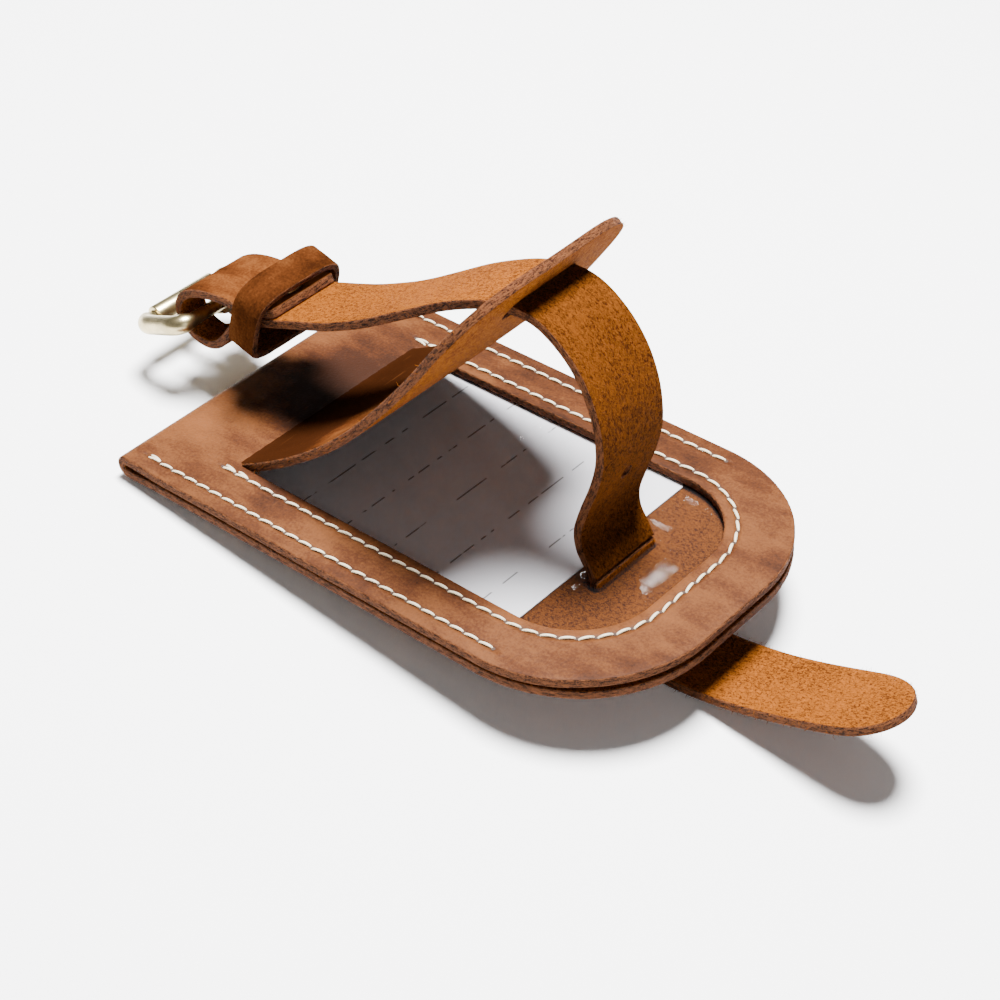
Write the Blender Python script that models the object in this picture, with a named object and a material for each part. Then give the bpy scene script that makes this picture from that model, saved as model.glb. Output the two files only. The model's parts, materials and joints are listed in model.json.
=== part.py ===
"""A leather luggage tag lying open: a folded hide body with a window and a raised privacy flap,
a card under a clear film, and a buckled strap threaded up through the body and the flap.

Everything is laid out in the tag's own frame: x runs from the fold to the rounded end, y across,
and z = 0 is the grain face of the front panel. One empty tilts that frame to the way it lies,
with the fold and the strap's bend touching the surface under it.
"""

import math

import bmesh
import bpy
import numpy as np
from mathutils import Matrix, Vector

MM = 0.001

# The folded body.
FOLD_END = 1.4 * MM  # where the outside of the fold is
ROUNDED_END = 127.7 * MM
TAG_WIDTH = 79.0 * MM
TAG_CORNER = 30.3 * MM
LEATHER = 2.0 * MM
POCKET = 1.0 * MM  # the space between the two layers
TILT = math.radians(5.8)  # how far the strap's bend lifts the rounded end

# The window and the flap cut out of it.
WINDOW_START = 24.2 * MM
WINDOW_END = 114.1 * MM
WINDOW_WIDTH = 52.6 * MM
WINDOW_CORNER = 17.4 * MM
FLAP_GAP = 0.3 * MM
FLAP_START = WINDOW_START + 0.5 * MM
FLAP_LENGTH = 88.4 * MM
FLAP_SLOT_FROM_END = 11.0 * MM
FLAP_SLOPES = (27.0, 47.0, -16.0)  # degrees at the root, then how they change along the flap

# The film and the card in the pocket.
FILM = 0.2 * MM
FILM_TOP = -LEATHER - 0.25 * MM
FILM_START = 19.0 * MM
FILM_MARGIN = 6.5 * MM  # how far the film reaches past the window
CARD_LENGTH = 90.0 * MM
CARD_WIDTH = 54.0 * MM
CARD = 0.3 * MM
CARD_TOP = FILM_TOP - FILM - 0.1 * MM
CARD_START = 5.5 * MM

# The seams.
STITCH = 3.54 * MM
THREAD = 0.3 * MM  # radius
SEAM_INSET = 3.65 * MM
SEAM_START = 7.0 * MM
OUTER_STITCHES = 26
WINDOW_SEAM_START = 21.6 * MM
WINDOW_SEAM_INSET = 2.65 * MM

# The strap and its slots.
STRAP_WIDTH = 18.0 * MM
SLOT_LENGTH = STRAP_WIDTH + 1.4 * MM
BASE_SLOT_X = 100.8 * MM
BASE_SLOT_WIDTH = 3.9 * MM
FLAP_SLOT_WIDTH = 6.6 * MM
HOLE_RADIUS = 1.4 * MM

# The strap's route in the x-z plane, in millimetres, along the middle of its thickness.
TAIL_ROUTE = (
    (100.8, -1.9), (100.9, -4.0), (101.4, -8.0), (104.0, -12.6), (109.5, -15.6),
    (118.0, -16.4), (127.0, -15.5), (137.0, -13.2), (147.0, -9.9), (157.0, -6.1), (165.4, -2.9),
)
ARCH_ROUTE = (
    (100.7, -0.9), (99.3, 1.6), (97.4, 5.0), (97.0, 9.2), (98.5, 14.4), (100.7, 20.6),
    (102.0, 26.6), (101.9, 32.0), (100.9, 37.0), (98.7, 42.2), (95.2, 47.0), (90.6, 50.6),
    (86.0, 52.4), (82.5, 52.6),
)
RUN_ROUTE = (
    (82.1, 52.5), (79.2, 52.0), (74.0, 50.4), (68.3, 47.8), (62.0, 44.4), (54.3, 39.6),
    (47.0, 35.1), (41.0, 31.7), (34.0, 28.4), (27.0, 25.6),
)
LOOP_ROUTE = (
    (9.2, 18.7), (6.2, 16.2), (3.4, 12.6), (0.4, 9.7), (-3.6, 8.6), (-8.2, 10.0),
    (-10.4, 13.6), (-9.2, 17.2), (-5.6, 19.8), (-0.4, 21.4), (5.2, 22.0),
)
CLAMP_START = (12.4, 20.3)  # where the rivet starts to hold the two layers together
CLAMP_LENGTH = 8.5
CLAMP_SLOPE = math.radians(19.6)
LAYER_GAP = 0.15  # between the folded end and the strap under it
SHORT_END_LENGTH = 7.6
PRONG_SLOT_WIDTH = 4.0 * MM
TAIL_HOLES = (6.0 * MM, 25.0 * MM)  # distances along the tail from the base slot
ARCH_HOLE = 23.0 * MM

# The rivet.
RIVET_ALONG = 2.6 * MM  # from the start of the clamped stretch
RIVET_CAP_RADIUS = 3.3 * MM
RIVET_CAP_HEIGHT = 0.8 * MM
RIVET_POST_RADIUS = 1.1 * MM

# The keeper.
KEEPER_ALONG = 0.7 * MM  # its middle, from the start of the clamped stretch
KEEPER_WIDTH = 7.0 * MM
KEEPER_LEATHER = 1.7 * MM
KEEPER_SPAN = 24.6 * MM
KEEPER_HEIGHT = 17.6 * MM
KEEPER_LEAN = math.radians(16.0)
KEEPER_RISE = 0.6 * MM  # how far its middle stands above the strap's middle

# The buckle.
HEEL_BAR = (-6.0 * MM, 13.4 * MM)
FRONT_BAR = (-18.9 * MM, 8.5 * MM)
RAIL_Y = 12.4 * MM
RAIL_RADIUS = 2.1 * MM
HEEL_RADIUS = 1.5 * MM
FRONT_RADIUS = 1.2 * MM
ROLLER_LENGTH = 17.0 * MM
ROLLER_RADIUS = 2.2 * MM
ROLLER_BORE = 1.4 * MM
PRONG_THICK = 1.2 * MM
PRONG_WIDE = 2.4 * MM
PRONG_CLEARANCE = 0.15 * MM

HALF_WIDTH = TAG_WIDTH / 2
FOLD_RADIUS = (LEATHER + POCKET) / 2
FOLD_ARC = math.pi * FOLD_RADIUS / 2
BACK_FACE = -2 * LEATHER - POCKET


def clear_scene():
    for obj in list(bpy.data.objects):
        bpy.data.objects.remove(obj, do_unlink=True)


def material(name, colour, roughness, metallic=0.0, alpha=1.0):
    made = bpy.data.materials.new(name)
    made.use_nodes = True
    shader = made.node_tree.nodes["Principled BSDF"]
    shader.inputs["Base Color"].default_value = (*colour, 1.0)
    shader.inputs["Roughness"].default_value = roughness
    shader.inputs["Metallic"].default_value = metallic
    shader.inputs["Alpha"].default_value = alpha
    return made


def empty(name, place=(0.0, 0.0, 0.0), parent=None):
    made = bpy.data.objects.new(name, None)
    made.empty_display_size = 0.01
    made.location = place
    made.parent = parent
    bpy.context.scene.collection.objects.link(made)
    return made


def finish(bm, name, finish_material, pivot):
    """Turns a bmesh given in the tag's frame into an object whose origin is at its pivot."""
    bmesh.ops.recalc_face_normals(bm, faces=bm.faces)
    if bm.calc_volume(signed=True) < 0:
        bmesh.ops.reverse_faces(bm, faces=bm.faces)
    bmesh.ops.translate(bm, vec=-pivot.location, verts=bm.verts)
    mesh = bpy.data.meshes.new(name)
    bm.to_mesh(mesh)
    bm.free()
    mesh.shade_smooth()
    mesh.set_sharp_from_angle(angle=math.radians(35))
    obj = bpy.data.objects.new(name, mesh)
    obj.parent = pivot
    obj.data.materials.append(finish_material)
    bpy.context.scene.collection.objects.link(obj)
    return obj


# Outlines, as lists of (x, y) points.


def arc(centre, radius, start, end, steps):
    angles = np.radians(np.linspace(start, end, steps + 1))
    return [(centre[0] + radius * math.cos(a), centre[1] + radius * math.sin(a)) for a in angles]


def circle(centre, radius, steps):
    return arc(centre, radius, 0, 360, steps)[:-1]


def rounded_box(x0, x1, y0, y1, radius, steps=3):
    corners = (
        ((x1 - radius, y1 - radius), 0), ((x0 + radius, y1 - radius), 90),
        ((x0 + radius, y0 + radius), 180), ((x1 - radius, y0 + radius), 270),
    )
    points = []
    for centre, start in corners:
        points += arc(centre, radius, start, start + 90, steps)
    return points


def round_ended(x0, x1, half_width, radius, steps=10):
    """A strip square at x0 and with both corners rounded at x1."""
    points = [(x0, -half_width)]
    points += arc((x1 - radius, -half_width + radius), radius, -90, 0, steps)
    points += arc((x1 - radius, half_width - radius), radius, 0, 90, steps)
    return points + [(x0, half_width)]


def slot_outline(x, width, length):
    return rounded_box(x - width / 2, x + width / 2, -length / 2, length / 2, 0.4 * width, 2)


# Sheets: cut flat like leather from a pattern, then formed along a route.


class Route:
    """A smooth line in the x-z plane through the given points, in metres, measured by its length."""

    def __init__(self, points, steps=14):
        nodes = np.array(points, float)
        padded = np.vstack([2 * nodes[0] - nodes[1], nodes, 2 * nodes[-1] - nodes[-2]])
        line = []
        for a, b, c, d in zip(padded, padded[1:], padded[2:], padded[3:]):
            for t in np.arange(steps) / steps:
                line.append(
                    0.5 * (2 * b + (c - a) * t + (2 * a - 5 * b + 4 * c - d) * t * t
                           + (3 * b - a - 3 * c + d) * t**3)
                )
        line.append(nodes[-1])
        self.line = np.array(line)
        steps_along = np.linalg.norm(np.diff(self.line, axis=0), axis=1)
        self.along = np.concatenate([[0.0], np.cumsum(steps_along)])
        self.length = self.along[-1]

    def place(self, s):
        return np.array([np.interp(s, self.along, self.line[:, i]) for i in (0, 1)])

    def direction(self, s, reach=0.6 * MM):
        ahead = self.place(min(s + reach, self.length))
        behind = self.place(max(s - reach, 0.0))
        return (ahead - behind) / np.linalg.norm(ahead - behind)


class Fold:
    """The body's section: the back panel, round the fold, and forward along the front panel."""

    def place_and_direction(self, s):
        turn = max(-FOLD_ARC, min(FOLD_ARC, s)) / FOLD_RADIUS
        straight = max(abs(s) - FOLD_ARC, 0.0)
        x = FOLD_END + LEATHER / 2 + FOLD_RADIUS * (1 - math.cos(turn)) + straight
        z = BACK_FACE / 2 + FOLD_RADIUS * math.sin(turn)
        return np.array([x, z]), np.array([math.sin(turn), math.cos(turn)])


def pattern(loops, stations=()):
    """A flat sheet from an outline and its holes, scored across at each station."""
    bm = bmesh.new()
    edges = []
    for loop in loops:
        verts = [bm.verts.new((x, y, 0.0)) for x, y in loop]
        edges += [bm.edges.new((a, b)) for a, b in zip(verts, verts[1:] + verts[:1])]
    bmesh.ops.triangle_fill(bm, edges=edges, use_beauty=True, normal=(0.0, 0.0, 1.0))
    for x in stations:
        bmesh.ops.bisect_plane(
            bm, geom=bm.verts[:] + bm.edges[:] + bm.faces[:], dist=1e-7,
            plane_co=(x, 0.0, 0.0), plane_no=(1.0, 0.0, 0.0),
        )
    bmesh.ops.triangulate(bm, faces=bm.faces)
    return bm


def thicken(bm, low, high):
    """Makes a flat sheet solid from z = low to z = high."""
    bmesh.ops.translate(bm, vec=(0.0, 0.0, low), verts=bm.verts)
    grown = bmesh.ops.extrude_face_region(bm, geom=bm.faces[:])["geom"]
    tops = [item for item in grown if isinstance(item, bmesh.types.BMVert)]
    bmesh.ops.translate(bm, vec=(0.0, 0.0, high - low), verts=tops)
    return bm


def form(bm, place_and_direction):
    """Bends a solid sheet so that its x runs along a section line and its z is measured off it."""
    for vert in bm.verts:
        place, ahead = place_and_direction(vert.co.x)
        x = place[0] - ahead[1] * vert.co.z
        z = place[1] + ahead[0] * vert.co.z
        vert.co = (x, vert.co.y, z)
    return bm


def strap_piece(name, route, loops, leather, pivot, step=2.2 * MM):
    """A stretch of the strap: its pattern formed along a route."""
    count = max(2, round(route.length / step))
    stations = [route.length * i / count for i in range(1, count)]
    bm = thicken(pattern(loops, stations), -LEATHER / 2, LEATHER / 2)
    form(bm, lambda s: (route.place(s), route.direction(s)))
    return finish(bm, name, leather, pivot)


def metres(points):
    return [(x * MM, z * MM) for x, z in points]


# The strap's shape near the rivet, where the two layers lie together.


def clamp_point(along, rise):
    """A point of the clamped stretch: along it from its start, and off the strap's middle."""
    cos, sin = math.cos(CLAMP_SLOPE), math.sin(CLAMP_SLOPE)
    x, z = CLAMP_START[0] * MM, CLAMP_START[1] * MM
    return x + along * cos - rise * sin, z + along * sin + rise * cos


def run_and_loop_route():
    """The buckle end of the strap: down from the flap, round the heel bar and back on top."""
    layer = LEATHER + LAYER_GAP * MM
    clamp = [clamp_point(CLAMP_LENGTH * MM * part, 0.0) for part in (1.0, 0.5, 0.0)]
    short = [clamp_point(SHORT_END_LENGTH * MM * part, layer) for part in (-0.25, 0.3, 0.65, 1.0)]
    return Route(metres(RUN_ROUTE) + clamp + metres(LOOP_ROUTE) + short)


def nearest_along(route, x, z, start=0.0, end=None):
    """How far along the route its nearest point to (x, z) is."""
    spots = np.linspace(start, end or route.length, 800)
    gaps = [np.hypot(*(route.place(s) - (x, z))) for s in spots]
    return float(spots[int(np.argmin(gaps))])


# The flap's section.


def flap_route():
    """The flap rises from its root, ever steeper, along a line that its slope draws."""
    steps = 40
    place = np.array([FLAP_START, -LEATHER / 2 + 0.35 * MM])
    line = [place]
    for i in range(steps):
        u = (i + 0.5) / steps
        slope = math.radians(FLAP_SLOPES[0] + FLAP_SLOPES[1] * u + FLAP_SLOPES[2] * u * u)
        place = place + FLAP_LENGTH / steps * np.array([math.cos(slope), math.sin(slope)])
        line.append(place)
    return Route(line, steps=2)


# The pieces of the body.


def make_body(leather, pivot):
    front_end = ROUNDED_END - FOLD_END - LEATHER / 2 - FOLD_RADIUS + FOLD_ARC
    shift = front_end - ROUNDED_END  # from a place on the front panel to its place in the pattern
    half = HALF_WIDTH
    front = round_ended(0.0, front_end, half, TAG_CORNER)[1:-1]
    back = [(-x, y) for x, y in reversed(front)]
    window = round_ended(WINDOW_START + shift, WINDOW_END + shift, WINDOW_WIDTH / 2, WINDOW_CORNER)
    slot = slot_outline(-(BASE_SLOT_X + shift), BASE_SLOT_WIDTH, SLOT_LENGTH)
    stations = [FOLD_ARC * i / 5 for i in range(-5, 6)]
    bm = thicken(pattern([front + back, window, slot], stations), -LEATHER / 2, LEATHER / 2)
    form(bm, Fold().place_and_direction)
    return finish(bm, "body_leather", leather, pivot)


def make_flap(leather, pivot):
    route = flap_route()
    outline = round_ended(0.0, FLAP_LENGTH, WINDOW_WIDTH / 2 - FLAP_GAP, WINDOW_CORNER)
    slot = slot_outline(FLAP_LENGTH - FLAP_SLOT_FROM_END, FLAP_SLOT_WIDTH, SLOT_LENGTH)
    return strap_piece("privacy_flap", route, [outline, slot], leather, pivot, 4.4 * MM)


def make_film(clear, pivot):
    outline = round_ended(
        FILM_START, WINDOW_END + FILM_MARGIN, WINDOW_WIDTH / 2 + FILM_MARGIN,
        WINDOW_CORNER + FILM_MARGIN,
    )
    slot = slot_outline(BASE_SLOT_X, BASE_SLOT_WIDTH, SLOT_LENGTH)
    bm = thicken(pattern([outline, slot]), FILM_TOP - FILM, FILM_TOP)
    return finish(bm, "window_film", clear, pivot)


def make_card(paper, pivot):
    outline = rounded_box(
        CARD_START, CARD_START + CARD_LENGTH, -CARD_WIDTH / 2, CARD_WIDTH / 2, 1.0 * MM
    )
    bm = thicken(pattern([outline]), CARD_TOP - CARD, CARD_TOP)
    return finish(bm, "address_card", paper, pivot)


# Threads: a bead that swells over each stitch and thins at each needle hole.


def sweep(points, radii, closed, sides=6, flatten=1.0, across=None):
    """A tube through the points; radii gives each ring's size, flatten its height against width."""
    bm = bmesh.new()
    rings = []
    count = len(points)
    for i, point in enumerate(points):
        ahead = points[(i + 1) % count] if closed or i < count - 1 else point
        behind = points[i - 1] if closed or i > 0 else point
        tangent = (ahead - behind).normalized()
        side = (across or Vector((0.0, 0.0, 1.0))).cross(tangent).normalized()
        up = tangent.cross(side)
        ring = []
        for k in range(sides):
            angle = 2 * math.pi * (k + 0.5) / sides
            offset = side * math.cos(angle) + up * math.sin(angle) * flatten
            ring.append(bm.verts.new(point + offset * radii[i]))
        rings.append(ring)
    pairs = list(zip(rings, rings[1:]))
    if closed:
        pairs.append((rings[-1], rings[0]))
    for low, high in pairs:
        for k in range(sides):
            n = (k + 1) % sides
            bm.faces.new((low[k], low[n], high[n], high[k]))
    if not closed:
        bm.faces.new(rings[0][::-1])
        bm.faces.new(rings[-1])
    bmesh.ops.triangulate(bm, faces=bm.faces)
    return bm


def seam(name, line, height, swell, radius, thread, pivot):
    """Thread laid along a line of stitch ends, with a fuller ring at the middle of each stitch."""
    points, radii = [], []
    for i, (a, b) in enumerate(zip(line, line[1:])):
        middle = ((a[0] + b[0]) / 2, (a[1] + b[1]) / 2)
        points += [Vector((*a, height)), Vector((*middle, height + swell))]
        radii += [0.8 * radius, radius]
    points.append(Vector((*line[-1], height)))
    radii.append(0.8 * radius)
    return finish(sweep(points, radii, False, sides=5), name, thread, pivot)


def evenly(line, step):
    """Points a stitch apart along a polyline."""
    line = np.array(line)
    along = np.concatenate([[0], np.cumsum(np.linalg.norm(np.diff(line, axis=0), axis=1))])
    count = round(along[-1] / step)
    spots = np.linspace(0, along[-1], count + 1)
    return [(np.interp(s, along, line[:, 0]), np.interp(s, along, line[:, 1])) for s in spots]


def make_seams(thread, pivot):
    above = THREAD + 0.03 * MM
    below = BACK_FACE - 0.22 * MM
    in_pocket = FILM_TOP - FILM - 0.27 * MM
    for side, y in (("near", SEAM_INSET - HALF_WIDTH), ("far", HALF_WIDTH - SEAM_INSET)):
        row = [(SEAM_START + STITCH * i, y) for i in range(OUTER_STITCHES + 1)]
        seam(f"{side}_seam_needle_thread", row, above, 0.15 * MM, THREAD, thread, pivot)
        seam(f"{side}_seam_bobbin_thread", row[1:], below, 0.0, 0.2 * MM, thread, pivot)
    outline = round_ended(
        WINDOW_SEAM_START, WINDOW_END + WINDOW_SEAM_INSET,
        WINDOW_WIDTH / 2 + WINDOW_SEAM_INSET, WINDOW_CORNER + WINDOW_SEAM_INSET,
    )
    row = evenly(outline, STITCH)
    seam("window_seam_needle_thread", row, above, 0.15 * MM, THREAD, thread, pivot)
    seam("window_seam_bobbin_thread", row, in_pocket, 0.0, 0.19 * MM, thread, pivot)


# The strap.


def strip(start, end):
    half = STRAP_WIDTH / 2
    return [(start, -half), (end, -half), (end, half), (start, half)]


def make_tail(leather, pivot):
    route = Route(metres(TAIL_ROUTE))
    tip = 13.0 * MM  # the length over which the tail narrows to its round tip
    half = STRAP_WIDTH / 2
    start = route.length - tip
    outline = [(0.0, -half)]
    for i in range(17):
        angle = math.radians(-90 + 180 * i / 16)
        outline.append((start + tip * math.cos(angle) ** 0.8, half * math.sin(angle)))
    outline.append((0.0, half))
    holes = [circle((s, 0.0), HOLE_RADIUS, 8) for s in TAIL_HOLES]
    return strap_piece("strap_tail", route, [outline, *holes], leather, pivot)


def make_arch(leather, pivot):
    route = Route(metres(ARCH_ROUTE))
    hole = circle((ARCH_HOLE, 0.0), HOLE_RADIUS, 8)
    return strap_piece("strap_arch", route, [strip(0.0, route.length), hole], leather, pivot)


def make_run(leather, pivot):
    route = run_and_loop_route()
    half = STRAP_WIDTH / 2
    corner = 1.0 * MM
    outline = round_ended(0.0, route.length, half, corner, 2)
    bend = nearest_along(route, HEEL_BAR[0] - 5 * MM, HEEL_BAR[1])
    prong_slot = rounded_box(
        bend - 9.5 * MM, bend + 5.5 * MM, -PRONG_SLOT_WIDTH / 2, PRONG_SLOT_WIDTH / 2, 1.2 * MM
    )
    lower = nearest_along(route, *clamp_point(RIVET_ALONG, 0.0), end=bend)
    upper = nearest_along(route, *clamp_point(RIVET_ALONG, LEATHER), start=bend)
    holes = [circle((s, 0.0), RIVET_POST_RADIUS + 0.2 * MM, 8) for s in (lower, upper)]
    loops = [outline, prong_slot, *holes]
    return strap_piece("strap_run", route, loops, leather, pivot, 1.7 * MM)


# The rivet, the keeper and its staple, built along z and then turned to the strap's slope.


def clamp_matrix(along, rise, lean=0.0):
    x, z = clamp_point(along, rise)
    return Matrix.Translation((x, 0.0, z)) @ Matrix.Rotation(-CLAMP_SLOPE + lean, 4, "Y")


def turned(profile, steps=16):
    """A solid turned about z from a profile of (radius, z), which starts and ends on the axis."""
    bm = bmesh.new()
    ends = [bm.verts.new((0.0, 0.0, z)) for _, z in (profile[0], profile[-1])]
    rings = []
    for radius, z in profile[1:-1]:
        rings.append([bm.verts.new((x, y, z)) for x, y in circle((0.0, 0.0), radius, steps)])
    for k in range(steps):
        n = (k + 1) % steps
        bm.faces.new((ends[0], rings[0][n], rings[0][k]))
        for low, high in zip(rings, rings[1:]):
            bm.faces.new((low[k], low[n], high[n], high[k]))
        bm.faces.new((rings[-1][k], rings[-1][n], ends[1]))
    bmesh.ops.triangulate(bm, faces=bm.faces)
    return bm


def make_rivet(brass, pivot):
    cap, post, high = RIVET_CAP_RADIUS, RIVET_POST_RADIUS, RIVET_CAP_HEIGHT
    stack = 2 * LEATHER + LAYER_GAP * MM
    seat = 0.1 * MM
    profile = [
        (0.0, -stack - seat), (post, -stack - seat), (post, seat), (cap, seat),
        (cap, seat + 0.35 * high), (0.8 * cap, seat + 0.85 * high), (0.0, seat + high),
    ]
    bm = turned(profile)
    bm.transform(clamp_matrix(RIVET_ALONG, 1.5 * LEATHER + LAYER_GAP * MM))
    finish(bm, "rivet_cap", brass, pivot)
    back = [
        (0.0, -high), (0.7 * cap, -0.85 * high), (0.9 * cap, -0.3 * high), (0.9 * cap, 0.0),
        (0.0, 0.0),
    ]
    bm = turned(back)
    bm.transform(clamp_matrix(RIVET_ALONG, -LEATHER / 2 - 2.5 * seat))
    finish(bm, "rivet_back_cap", brass, pivot)


def keeper_loop_outline(span, height, steps=32):
    """A loop that is square below, where it hangs from the strap, and arched on top."""
    points = []
    for i in range(steps):
        angle = 2 * math.pi * i / steps
        cos, sin = math.cos(angle), math.sin(angle)
        squareness = 0.5 if sin > 0 else 0.4
        reach_y = math.copysign(abs(cos) ** squareness, cos) * span / 2
        reach_z = math.copysign(abs(sin) ** squareness, sin) * height / 2
        points.append((reach_z, reach_y))
    return points


def make_keeper(leather, brass, pivot):
    wall = KEEPER_LEATHER
    outer = keeper_loop_outline(KEEPER_SPAN, KEEPER_HEIGHT)
    inner = keeper_loop_outline(KEEPER_SPAN - 2 * wall, KEEPER_HEIGHT - 2 * wall)
    bm = thicken(pattern([outer, inner]), -KEEPER_WIDTH / 2, KEEPER_WIDTH / 2)
    upright = Matrix.Rotation(math.radians(-90), 4, "Y")
    place = clamp_matrix(KEEPER_ALONG, KEEPER_RISE, lean=CLAMP_SLOPE + KEEPER_LEAN)
    bm.transform(place @ upright)
    finish(bm, "keeper_loop", leather, pivot)
    length, width, height = 5.0 * MM, 2.6 * MM, 0.7 * MM
    outline = rounded_box(-width / 2, width / 2, -length / 2, length / 2, 0.6 * MM)
    bm = thicken(pattern([outline]), 0.0, height)
    top = KEEPER_HEIGHT / 2 - wall - height - 0.1 * MM
    bm.transform(place @ Matrix.Translation((0.0, 0.0, top)))
    finish(bm, "keeper_staple", brass, pivot)


# The buckle.


def buckle_line(along, rise=0.0):
    """A point of the buckle's plane, from the heel bar towards the front bar."""
    heel, front = Vector((HEEL_BAR[0], 0.0, HEEL_BAR[1])), Vector((FRONT_BAR[0], 0.0, FRONT_BAR[1]))
    ahead = (front - heel).normalized()
    up = Vector((ahead.z, 0.0, -ahead.x))
    return heel + ahead * along + up * rise


def make_frame(brass, pivot):
    """One casting: a round-cornered loop, thick in its rails and slim where it is a bar."""
    reach = (Vector(FRONT_BAR) - Vector(HEEL_BAR)).length
    corner = 3.4 * MM
    corners = rounded_box(0.0, reach, -RAIL_Y, RAIL_Y, corner, 4)
    half = len(corners) // 2
    bar = [y * MM for y in (-8.6, -7.0, 0.0, 7.0, 8.6)]
    line = corners[:half] + [(0.0, -y) for y in bar] + corners[half:] + [(reach, y) for y in bar]
    points, radii = [], []
    for along, y in line:
        thin = HEEL_RADIUS if along < reach / 2 else FRONT_RADIUS
        grown = min(max((abs(y) - 8.8 * MM) / (2.2 * MM), 0.0), 1.0)
        points.append(buckle_line(along) + Vector((0.0, y, 0.0)))
        radii.append(thin + (RAIL_RADIUS - thin) * grown)
    across = (buckle_line(0.0, 1.0) - buckle_line(0.0)).normalized()
    return finish(sweep(points, radii, True, sides=10, across=across), "buckle_frame", brass, pivot)


def make_roller(brass, pivot):
    bm = thicken(
        pattern([circle((0.0, 0.0), ROLLER_RADIUS, 24), circle((0.0, 0.0), ROLLER_BORE, 24)]),
        -ROLLER_LENGTH / 2, ROLLER_LENGTH / 2,
    )
    place = Matrix.Translation((FRONT_BAR[0], 0.0, FRONT_BAR[1]))
    bm.transform(place @ Matrix.Rotation(math.radians(90), 4, "X"))
    return finish(bm, "buckle_roller", brass, pivot)


def make_prong(brass, pivot):
    """A flat wire: curled round the heel bar, then straight out under the roller."""
    reach = (Vector(FRONT_BAR) - Vector(HEEL_BAR)).length
    curl = HEEL_RADIUS + PRONG_CLEARANCE + PRONG_THICK / 2
    under = ROLLER_RADIUS + PRONG_THICK / 2 + 0.12 * MM
    slope = math.asin((under - curl) / reach)
    points, radii = [], []
    for degrees in range(280, -1, -20):
        angle = math.radians(degrees) + slope
        points.append(buckle_line(curl * math.sin(angle), -curl * math.cos(angle)))
        radii.append(PRONG_WIDE / 2)
    for along in (3.0, 8.0, 13.0, 15.5, 16.6):
        run = along * MM
        points.append(
            buckle_line(
                curl * math.sin(slope) + run * math.cos(slope),
                -curl * math.cos(slope) - run * math.sin(slope),
            )
        )
        radii.append(PRONG_WIDE / 2 * (1.0 if along < 14 else 0.8 if along < 16 else 0.45))
    across = Vector((0.0, 1.0, 0.0))
    flat = PRONG_WIDE / PRONG_THICK
    radii = [r / flat for r in radii]
    return finish(
        sweep(points, radii, False, sides=8, flatten=flat, across=across),
        "buckle_prong", brass, pivot,
    )


# Assembly.


def flap_slot_place():
    """The middle of the flap's slot, where the strap turns as the flap moves."""
    x, z = flap_route().place(FLAP_LENGTH - FLAP_SLOT_FROM_END)
    return x, 0.0, z


def rest_on_surface(frame):
    """Moves the whole tag so that the middle of its box's bottom is at the world's origin."""
    bpy.context.view_layer.update()
    corners = []
    for obj in bpy.data.objects:
        if obj.type == "MESH":
            corners += [obj.matrix_world @ vert.co for vert in obj.data.vertices]
    low = [min(corner[i] for corner in corners) for i in range(3)]
    high = [max(corner[i] for corner in corners) for i in range(3)]
    frame.location = (-(low[0] + high[0]) / 2, -(low[1] + high[1]) / 2, -low[2])


def main():
    clear_scene()
    leather = material("oiled_leather", (0.42, 0.19, 0.07), 0.55)
    suede = material("strap_leather", (0.48, 0.25, 0.10), 0.9)
    clear = material("clear_film", (0.92, 0.93, 0.95), 0.05, alpha=0.25)
    paper = material("card_paper", (0.85, 0.85, 0.86), 0.6)
    thread = material("cream_thread", (0.86, 0.80, 0.66), 0.6)
    brass = material("antique_brass", (0.62, 0.52, 0.30), 0.3, metallic=1.0)

    frame = empty("tag_frame")
    body = empty("body_pivot", parent=frame)
    card = empty("card_pivot", (CARD_START, 0.0, CARD_TOP), frame)
    flap = empty("flap_pivot", (WINDOW_START, 0.0, -LEATHER + 0.4 * MM), frame)
    strap = empty("strap_pivot", flap_slot_place(), frame)
    keeper_x, keeper_z = clamp_point(KEEPER_ALONG, 0.0)
    keeper = empty("keeper_pivot", (keeper_x, 0.0, keeper_z), frame)
    buckle = empty("buckle_pivot", (HEEL_BAR[0], 0.0, HEEL_BAR[1]), frame)
    prong = empty("prong_pivot", buckle.location, frame)
    roller = empty("roller_pivot", (FRONT_BAR[0], 0.0, FRONT_BAR[1]), frame)

    make_body(leather, body)
    make_flap(leather, flap)
    make_film(clear, body)
    make_card(paper, card)
    make_seams(thread, body)
    make_tail(suede, body)
    make_arch(suede, body)
    make_run(suede, strap)
    make_rivet(brass, strap)
    make_keeper(leather, brass, keeper)
    make_frame(brass, buckle)
    make_roller(brass, roller)
    make_prong(brass, prong)

    frame.rotation_euler = (0.0, -TILT, 0.0)
    rest_on_surface(frame)


main()
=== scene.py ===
"""Looks for a leather luggage tag: oiled hide, suede strap, waxed stitching, film, card and brass.

Every piece is drawn in the tag's own frame: x from the fold to the rounded end, y across, and
z = 0 on the grain face of the front panel. TAG carries that frame to where the solids lie.
"""

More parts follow.
